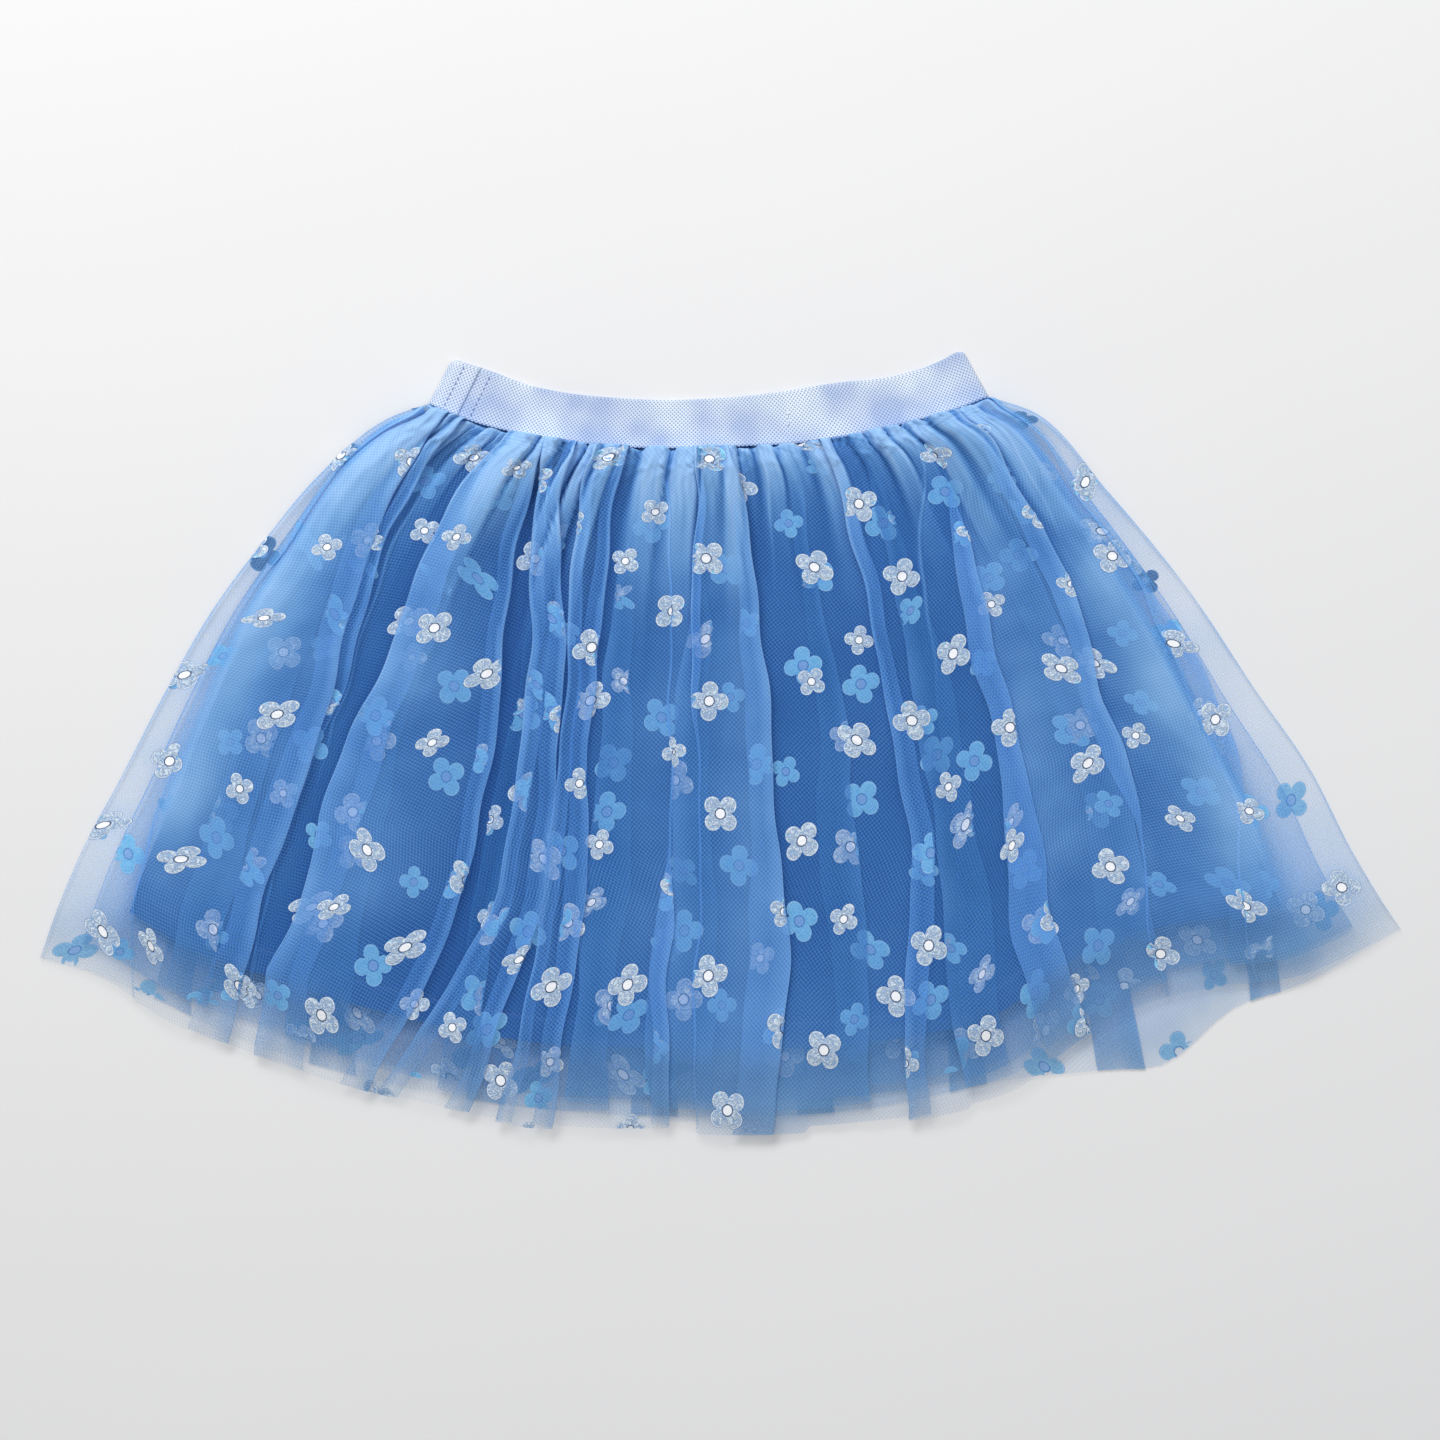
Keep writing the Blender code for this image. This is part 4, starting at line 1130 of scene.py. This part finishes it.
def flower_tree():
    """Instance, realize, cut at the hem, lay on the cloth, then set the materials."""
    tree, given = new_tree("lay_flowers", {"Cloth": "Object", "Flower": "Object", "Film": "Float",
                                           "Roll": "Float", "Lift": "Float", "Hem": "Float"})
    radius, turn, part, uv = (
        add(tree, "GeometryNodeInputNamedAttribute", {"Name": label}, data_type=kind)
        for label, kind in (("radius", "FLOAT"), ("turn", "FLOAT"), ("part", "INT"),
                            ("cloth", "FLOAT_VECTOR")))
    shape = add(tree, "GeometryNodeObjectInfo", {"Object": given["Flower"]}).outputs["Geometry"]
    about = add(tree, "ShaderNodeCombineXYZ", {"X": given["Roll"], "Z": turn})
    size = add(tree, "ShaderNodeCombineXYZ", {"X": radius, "Y": radius, "Z": given["Film"]})
    copies = add(tree, "GeometryNodeInstanceOnPoints", {
        "Points": given["Geometry"], "Instance": shape, "Rotation": about, "Scale": size})
    real = add(tree, "GeometryNodeRealizeInstances", {"Geometry": copies})
    spot = add(tree, "GeometryNodeInputPosition")
    parts = add(tree, "ShaderNodeSeparateXYZ", [spot]).outputs
    level = add(tree, "ShaderNodeCombineXYZ", {"X": parts[0], "Y": parts[1]})
    reach = add(tree, "ShaderNodeVectorMath", [level], operation="LENGTH")
    past = add(tree, "FunctionNodeCompare", [reach, given["Hem"]], operation="GREATER_THAN")
    cut = add(tree, "GeometryNodeDeleteGeometry", {"Geometry": real, "Selection": past}, domain="FACE")
    short = add(tree, "ShaderNodeMath", [reach, given["Hem"]], operation="MINIMUM")
    unit_spot = add(tree, "ShaderNodeVectorMath", [level], operation="NORMALIZE")
    chart = add(tree, "ShaderNodeVectorMath", {0: unit_spot, "Scale": short}, operation="SCALE")
    cloth = add(tree, "GeometryNodeObjectInfo", {"Object": given["Cloth"]}).outputs["Geometry"]
    found = [add(tree, "GeometryNodeSampleUVSurface", {
        "Mesh": cloth, "Value": add(tree, "GeometryNodeInput" + what), "Source UV Map": uv,
        "Sample UV": chart}, data_type="FLOAT_VECTOR").outputs for what in ("Position", "Normal")]
    missed = add(tree, "FunctionNodeBooleanMath", [found[0]["Is Valid"]], operation="NOT")
    kept = add(tree, "GeometryNodeDeleteGeometry", {"Geometry": cut, "Selection": missed}, domain="POINT")
    unit = add(tree, "ShaderNodeVectorMath", [found[1][0]], operation="NORMALIZE")
    high = add(tree, "ShaderNodeMath", [parts[2], given["Lift"]], operation="ADD")
    raised = add(tree, "ShaderNodeVectorMath", {0: unit, "Scale": high}, operation="SCALE")
    final = add(tree, "ShaderNodeVectorMath", [found[0][0], raised], operation="ADD")
    result = add(tree, "GeometryNodeSetPosition", {"Geometry": kept, "Position": final})
    laid = add(tree, "ShaderNodeSeparateXYZ", [add(tree, "GeometryNodeInputPosition")]).outputs
    only_where = {
        SHADED: add(tree, "FunctionNodeCompare", [laid[2], LOWEST_CLOTH], operation="LESS_THAN"),
        SHADED_HIGH: add(tree, "FunctionNodeCompare", [laid[1], DARK_BACKS_FROM],
                         operation="GREATER_THAN")}
    for number, material in enumerate(film_materials):
        of_part = BACK if number in only_where else number
        chosen = add(tree, "FunctionNodeCompare", {2: part, 3: of_part}, data_type="INT",
                     operation="EQUAL")
        for kind in only_where:
            if SHADED <= kind <= number:
                chosen = add(tree, "FunctionNodeBooleanMath", [chosen, only_where[kind]],
                             operation="AND")
        result = add(tree, "GeometryNodeSetMaterial", {
            "Geometry": result, "Selection": chosen, "Material": material})
    add(tree, "NodeGroupOutput", [result])
    return tree


def run_tree(name, item, tree, values):
    """Evaluate a Geometry Nodes tree on an object and keep the result as a plain mesh."""
    modifier = item.modifiers.new("nodes", "NODES")
    modifier.node_group = tree
    for socket in tree.interface.items_tree:
        if socket.in_out == "INPUT" and socket.name in values:
            modifier[socket.identifier] = values[socket.name]
    bpy.context.view_layer.update()
    done = item.evaluated_get(bpy.context.evaluated_depsgraph_get())
    mesh = bpy.data.meshes.new_from_object(done)
    mesh.name = name
    bpy.data.objects.remove(item, do_unlink=True)
    return new_item(name, mesh)


lay_flowers = flower_tree()
print("nodes in the flowers' tree:", len(lay_flowers.nodes))

# %% Laying the flowers
flower_pieces = []
for name, net, size, seed, roll, lift in (
        ("outer_flowers", outer_net, outer_size, 7, 0.0, 0.10 * MM),
        ("under_flowers", under_net, under_size, 19, math.pi, -0.10 * MM)):
    points = charted_points(name + "_chart", size, seed)
    count = len(points.data.vertices)
    piece = run_tree(name, points, lay_flowers, {
        "Cloth": net, "Flower": flower, "Film": FILM, "Roll": roll, "Lift": lift,
        "Hem": size["hem"] - 0.01 * MM})
    piece.visible_shadow = False
    flower_pieces.append(piece)
    print(name, count, "flowers,", len(piece.data.polygons), "faces")

# %% [markdown]
# The elastic
#
# The waistband is one strip of wide woven elastic, folded flat into a loop and lapped at the left
# end, where stitches hold it. Its face shows staggered rows of small dashes, where the rubber threads
# are covered. The strip is modelled as one sheet with real thickness; the dashes are in the material.

# %% The elastic's strip
# Thickness, length all round and width of the strip, in mm
ELASTIC, ELASTIC_ROUND, ELASTIC_WIDE = 1.2, 2 * 235.0, 21.0
# Height of the front's edge, where its lap ends, and height and run of the lap's step, in mm
FRONT_EDGE, LAP_END, LAP_STEP, LAP_RUN = 4.0, 12.0, 0.9, 0.45
LAP_POINTS = LAP_END + np.linspace(0.0, LAP_RUN, 4)
BAND_ROWS, BAND_FRONT, BAND_BACK = 22, 300, 60
# Radius of the top corners in mm, and the share up where they begin
CORNER, CORNER_FROM = 2.2, 0.88


def band_section(up):
    """One row round the elastic: across in mm and height."""
    ends = [mix(waist(side), band_top(side), up) for side in (0.0, 1.0)]
    width = float(np.linalg.norm(ends[1] - ends[0]))
    past = max((up - CORNER_FROM) / (1 - CORNER_FROM), 0.0)
    rounded = CORNER * (1 - math.sqrt(1 - past ** 2))
    inset = rounded + (FRONT_EDGE - ELASTIC) / 2
    h = np.sort(np.concatenate([np.linspace(inset, width - inset, BAND_FRONT), LAP_POINTS]))
    share = (h - inset) / (width - 2 * inset)
    wave = 0.5 * (1 + np.cos(2 * np.pi * (3.5 * share + 0.15)))
    z = FRONT_EDGE + off_ends(share, 0.12) * (0.5 + 0.7 * wave + 0.5 * (1 - up))
    z = z + LAP_STEP * (1 - fade((h - LAP_END) / LAP_RUN)) * fade(share / 0.01)
    behind = np.column_stack([np.linspace(width - inset, inset, BAND_BACK), np.zeros(BAND_BACK)])
    right = turn_round(width - rounded, FRONT_EDGE, 0.0, 1)
    left = turn_round(rounded, FRONT_EDGE, 0.0, -1)[::-1]
    return np.vstack([np.column_stack([h, z]), right, behind, left]), width


def elastic_strip():
    """The strip as rows of points round it, from the top down, with a wall and its flat coordinates."""
    grid, chart = [], []
    for up in np.linspace(1.0, 0.0, BAND_ROWS):
        section, width = band_section(up)
        across = np.clip(section[:, 0] / width, 0, 1)
        ring = np.column_stack([mix(waist(across), band_top(across), up), section[:, 1]])
        ring = np.vstack([ring, ring[:1]])
        grid.append(ring)
        steps = np.linalg.norm(np.diff(ring, axis=0), axis=1)
        along = np.concatenate([[0.0], np.cumsum(steps)]) / steps.sum()
        chart.append(np.column_stack([along * ELASTIC_ROUND, np.full(len(ring), up * ELASTIC_WIDE)]))
    item = grid_mesh("elastic_strip", np.array(grid) * MM)
    write_chart(item, np.array(chart) * MM)
    wall = item.modifiers.new("wall", "SOLIDIFY")
    wall.thickness = ELASTIC * 0.8 * MM
    wall.offset = -1.0
    return item


elastic = elastic_strip()
print("elastic faces:", len(elastic.data.polygons))

# %% The elastic's material
# Distances of the dashes, and how wide the lap looks paler
DASH_WIDE, DASH_TALL, LAP_PALE = 0.84 * MM, 0.82 * MM, 11.0 * MM
ELASTIC_COLOURS = {"dull": "#BCCCE8", "clean": "#EAF3F9", "lap": "#E6EEF8", "dash": "#7890C4"}


def elastic_material():
    material, tree = new_material("woven_elastic")
    chart = add(tree, "ShaderNodeUVMap", uv_map="cloth")
    dull, clean, lap_colour, dash = map(linear, ELASTIC_COLOURS.values())
    dashes = lattice(tree, chart, DASH_WIDE, DASH_TALL)
    cloud = add(tree, "ShaderNodeTexNoise", {"Vector": chart, "Scale": 34.0, "Detail": 2.0})
    pale = add(tree, "ShaderNodeMapRange", [cloud, 0.38, 0.62])
    base = add(tree, "ShaderNodeMix", {"Factor": pale, 6: dull, 7: clean}, data_type="RGBA")
    along = add(tree, "ShaderNodeSeparateXYZ", [chart])
    lap = add(tree, "ShaderNodeMapRange", [along, 1.15 * LAP_PALE, 0.85 * LAP_PALE, 0.0, 0.6])
    base = add(tree, "ShaderNodeMix", {"Factor": lap, 6: base, 7: lap_colour}, data_type="RGBA")
    light = add(tree, "ShaderNodeMapRange", [dashes, -0.95, 0.0])
    shade = add(tree, "ShaderNodeMix", {"Factor": light, 6: dash, 7: base}, data_type="RGBA")
    bump = add(tree, "ShaderNodeBump", {"Height": dashes, "Strength": 0.5, "Distance": 0.3 * MM})
    shader = add(tree, "ShaderNodeBsdfPrincipled", {
        "Base Color": shade, "Roughness": 0.8, "Specular IOR Level": 0.2, "Normal": bump})
    add(tree, "ShaderNodeOutputMaterial", [shader])
    return material


elastic.data.materials.append(elastic_material())
print("elastic:", elastic.data.materials[0].name)

# %% [markdown]
# Sewing
#
# Thread shows in two places: two dotted lines hold the elastic's lapped join, and one line holds the
# lining's turned hem. A stitch is a small flattened bead of thread. Geometry Nodes set one on every
# point of a line and realize them.

# %% Stitches
# Distance from stitch to stitch, and of the lap's two lines from the elastic's left end, in mm
STITCH_PITCH, SEAM_LINES = 2.4, (6.0, 17.0)
# Length, width and height of a stitch
STITCH = (1.6 * MM, 0.6 * MM, 0.4 * MM)
# The loose thread's height and its points on the elastic, in mm
LOOSE_HEIGHT = 5.4
LOOSE_THREAD = ((28.0, 132.5), (28.6, 134.6), (28.0, 136.6), (28.3, 138.6))


def thread_material(name, colour):
    material, tree = new_material(name)
    shader = add(tree, "ShaderNodeBsdfPrincipled", {"Base Color": linear(colour), "Roughness": 0.7})
    add(tree, "ShaderNodeOutputMaterial", [shader])
    return material


def stitch_tree():
    """A bead of thread on every point, turned along its line."""
    tree, given = new_tree("sew", {"Thread": "Material", "Length": "Float"})
    turn = add(tree, "GeometryNodeInputNamedAttribute", {"Name": "turn"}, data_type="FLOAT")
    bead = add(tree, "GeometryNodeMeshUVSphere", {"Segments": 6, "Rings": 4, "Radius": 0.5})
    about = add(tree, "ShaderNodeCombineXYZ", {"Z": turn})
    size = add(tree, "ShaderNodeCombineXYZ", {"X": given["Length"], "Y": STITCH[1], "Z": STITCH[2]})
    copies = add(tree, "GeometryNodeInstanceOnPoints", {
        "Points": given["Geometry"], "Instance": bead, "Rotation": about, "Scale": size})
    real = add(tree, "GeometryNodeRealizeInstances", {"Geometry": copies})
    sewn = add(tree, "GeometryNodeSetMaterial", {"Geometry": real, "Material": given["Thread"]})
    add(tree, "NodeGroupOutput", [sewn])
    return tree


def stitch_points(name, lines, pitch):
    """Points at an even pitch along lines given in mm, each with the line's direction there."""
    places, turns = [], []
    for line in lines:
        line = np.array(line, float)
        way = np.concatenate([[0.0], np.cumsum(np.linalg.norm(np.diff(line, axis=0), axis=1))])
        at = np.arange(pitch / 2, way[-1], pitch)
        spots = np.column_stack([np.interp(at, way, line[:, k]) for k in range(3)])
        ahead = np.column_stack([np.interp(at + 0.5, way, line[:, k]) for k in range(2)]) - spots[:, :2]
        places.extend(spots * MM)
        turns.extend(np.arctan2(ahead[:, 1], ahead[:, 0]))
    return point_cloud(name, places, turn=turns)


def band_line(h):
    """A line up the elastic's front at one distance from its left end."""
    rows = []
    for up in np.linspace(0.06, 0.94, 9):
        section, width = band_section(up)
        share = np.array([h / width])
        x, y = mix(waist(share), band_top(share), up)[0]
        front = section[:BAND_FRONT + len(LAP_POINTS)]
        rows.append((x, y, np.interp(h, front[:, 0], front[:, 1]) + 0.1))
    return rows


def lining_line():
    """The line along the lining's front where its hem is sewn."""
    section = cloth_section("lining", STITCH_SHARE, lining_front, lining_back)
    h, high = section[section[:, -1] > 0.5][8:250, :2].T
    shares = np.full(len(h), STITCH_SHARE)
    spots = skirt_place(h / skirt_width(STITCH_SHARE), shares, shares > 0)
    return np.column_stack([spots, high + 0.15])


sew = stitch_tree()
loose = [(x, y, LOOSE_HEIGHT) for x, y in LOOSE_THREAD]
stitches = {}
for name, lines, pitch, colour in (
        ("lap_stitches", [band_line(h) for h in SEAM_LINES], STITCH_PITCH, "#7388BA"),
        ("loose_thread", [loose], 1.6, "#EEF3FA"),
        ("lining_stitches", [lining_line()], STITCH_PITCH, "#143C7C")):
    points = stitch_points(name + "_points", lines, pitch)
    stitches[name] = run_tree(name, points, sew, {
        "Thread": thread_material(name + "_thread", colour), "Length": STITCH[0]})
    print(name, len(stitches[name].data.polygons), "faces")

# %% [markdown]
# What each piece stands for
#
# Each new piece hangs from the root body, and the solid from the model that it stands for is hidden.
# A cloth's flat coordinates lie as a sector of a ring, as wide as its hem is round and as long as the way
# from seam to hem.

# %% Bodies
for piece, node, slot in ((elastic, "waistband", "elastic"), (outer_net, "outer_tulle", "net"),
                          (under_net, "under_tulle", "under_net"), (lining, "lining", "lining")):
    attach(piece, "root")
    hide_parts(node)
for piece, slot in ((flower_pieces[0], "net"), (flower_pieces[1], "under_net"),
                    (stitches["lap_stitches"], "elastic"), (stitches["loose_thread"], "elastic"),
                    (stitches["lining_stitches"], "lining")):
    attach(piece, "root")


# %% [markdown]
# Table, light and camera
#
# The skirt lies on a plain pale table. Two wide soft lights hang to the sides of the camera and the
# pale surroundings fill the shadows, as in a bright studio. The camera looks straight down from 1.8 m.

# %% The stage
PHOTO_PIXELS = 1440
MM_PER_PIXEL = 0.42
CAMERA_HEIGHT = 1.8
PICTURE_CENTRE = (-0.0002, 0.0094)
TABLE_BELOW = -0.0002


def pale_table():
    mesh = bpy.data.meshes.new("table")
    mesh.from_pydata([(-4, -4, 0), (4, -4, 0), (4, 4, 0), (-4, 4, 0)], [], [(0, 1, 2, 3)])
    table = new_item("table", mesh)
    table.location.z = TABLE_BELOW
    material, tree = new_material("pale_matte_card")
    spot = add(tree, "ShaderNodeTexCoord").outputs["Object"]
    cloud = add(tree, "ShaderNodeTexNoise", {"Vector": spot, "Scale": 3.0})
    shade = add(tree, "ShaderNodeMix", {"Factor": cloud, 6: linear("#E9E8E7"), 7: linear("#ECEBEA")},
                data_type="RGBA")
    shader = add(tree, "ShaderNodeBsdfPrincipled", {"Base Color": shade, "Roughness": 0.9})
    add(tree, "ShaderNodeOutputMaterial", [shader])
    mesh.materials.append(material)


def soft_light(name, place, size, power, colour):
    """A wide lamp that looks at the middle of the skirt."""
    light = bpy.data.lights.new(name, "AREA")
    light.shape = "RECTANGLE"
    light.size, light.size_y = size
    light.energy = power
    light.color = linear(colour)[:3]
    item = new_item(name, light)
    item.location = place
    x, y, z = place
    item.rotation_euler = (math.atan2(math.hypot(x, y), z), 0, math.atan2(x, -y))


pale_table()
soft_light("window", (-0.52, 1.62, 1.55), (1.3, 0.8), 41, "#FFFFFF")
soft_light("fill", (1.3, 0.4, 2.4), (1.6, 1.6), 10, "#F4F8FF")
world = bpy.data.worlds.new("pale_room")
world.use_nodes = True
room = world.node_tree.nodes["Background"].inputs
room["Color"].default_value, room["Strength"].default_value = linear("#F2F4F7"), 0.44
bpy.context.scene.world = world
bpy.context.scene.view_settings.view_transform = "Standard"
bpy.context.scene.cycles.transparent_max_bounces = 48

camera_data = bpy.data.cameras.new("camera")
camera_data.sensor_width = 36.0
camera_data.lens = camera_data.sensor_width * CAMERA_HEIGHT / (PHOTO_PIXELS * MM_PER_PIXEL * MM)
camera = new_item("camera", camera_data)
camera.location = (*PICTURE_CENTRE, CAMERA_HEIGHT)
bpy.context.scene.camera = camera
print(f"camera {CAMERA_HEIGHT} m up, lens {camera_data.lens:.0f} mm")

# %% Bringing the scene up to date
bpy.context.view_layer.update()
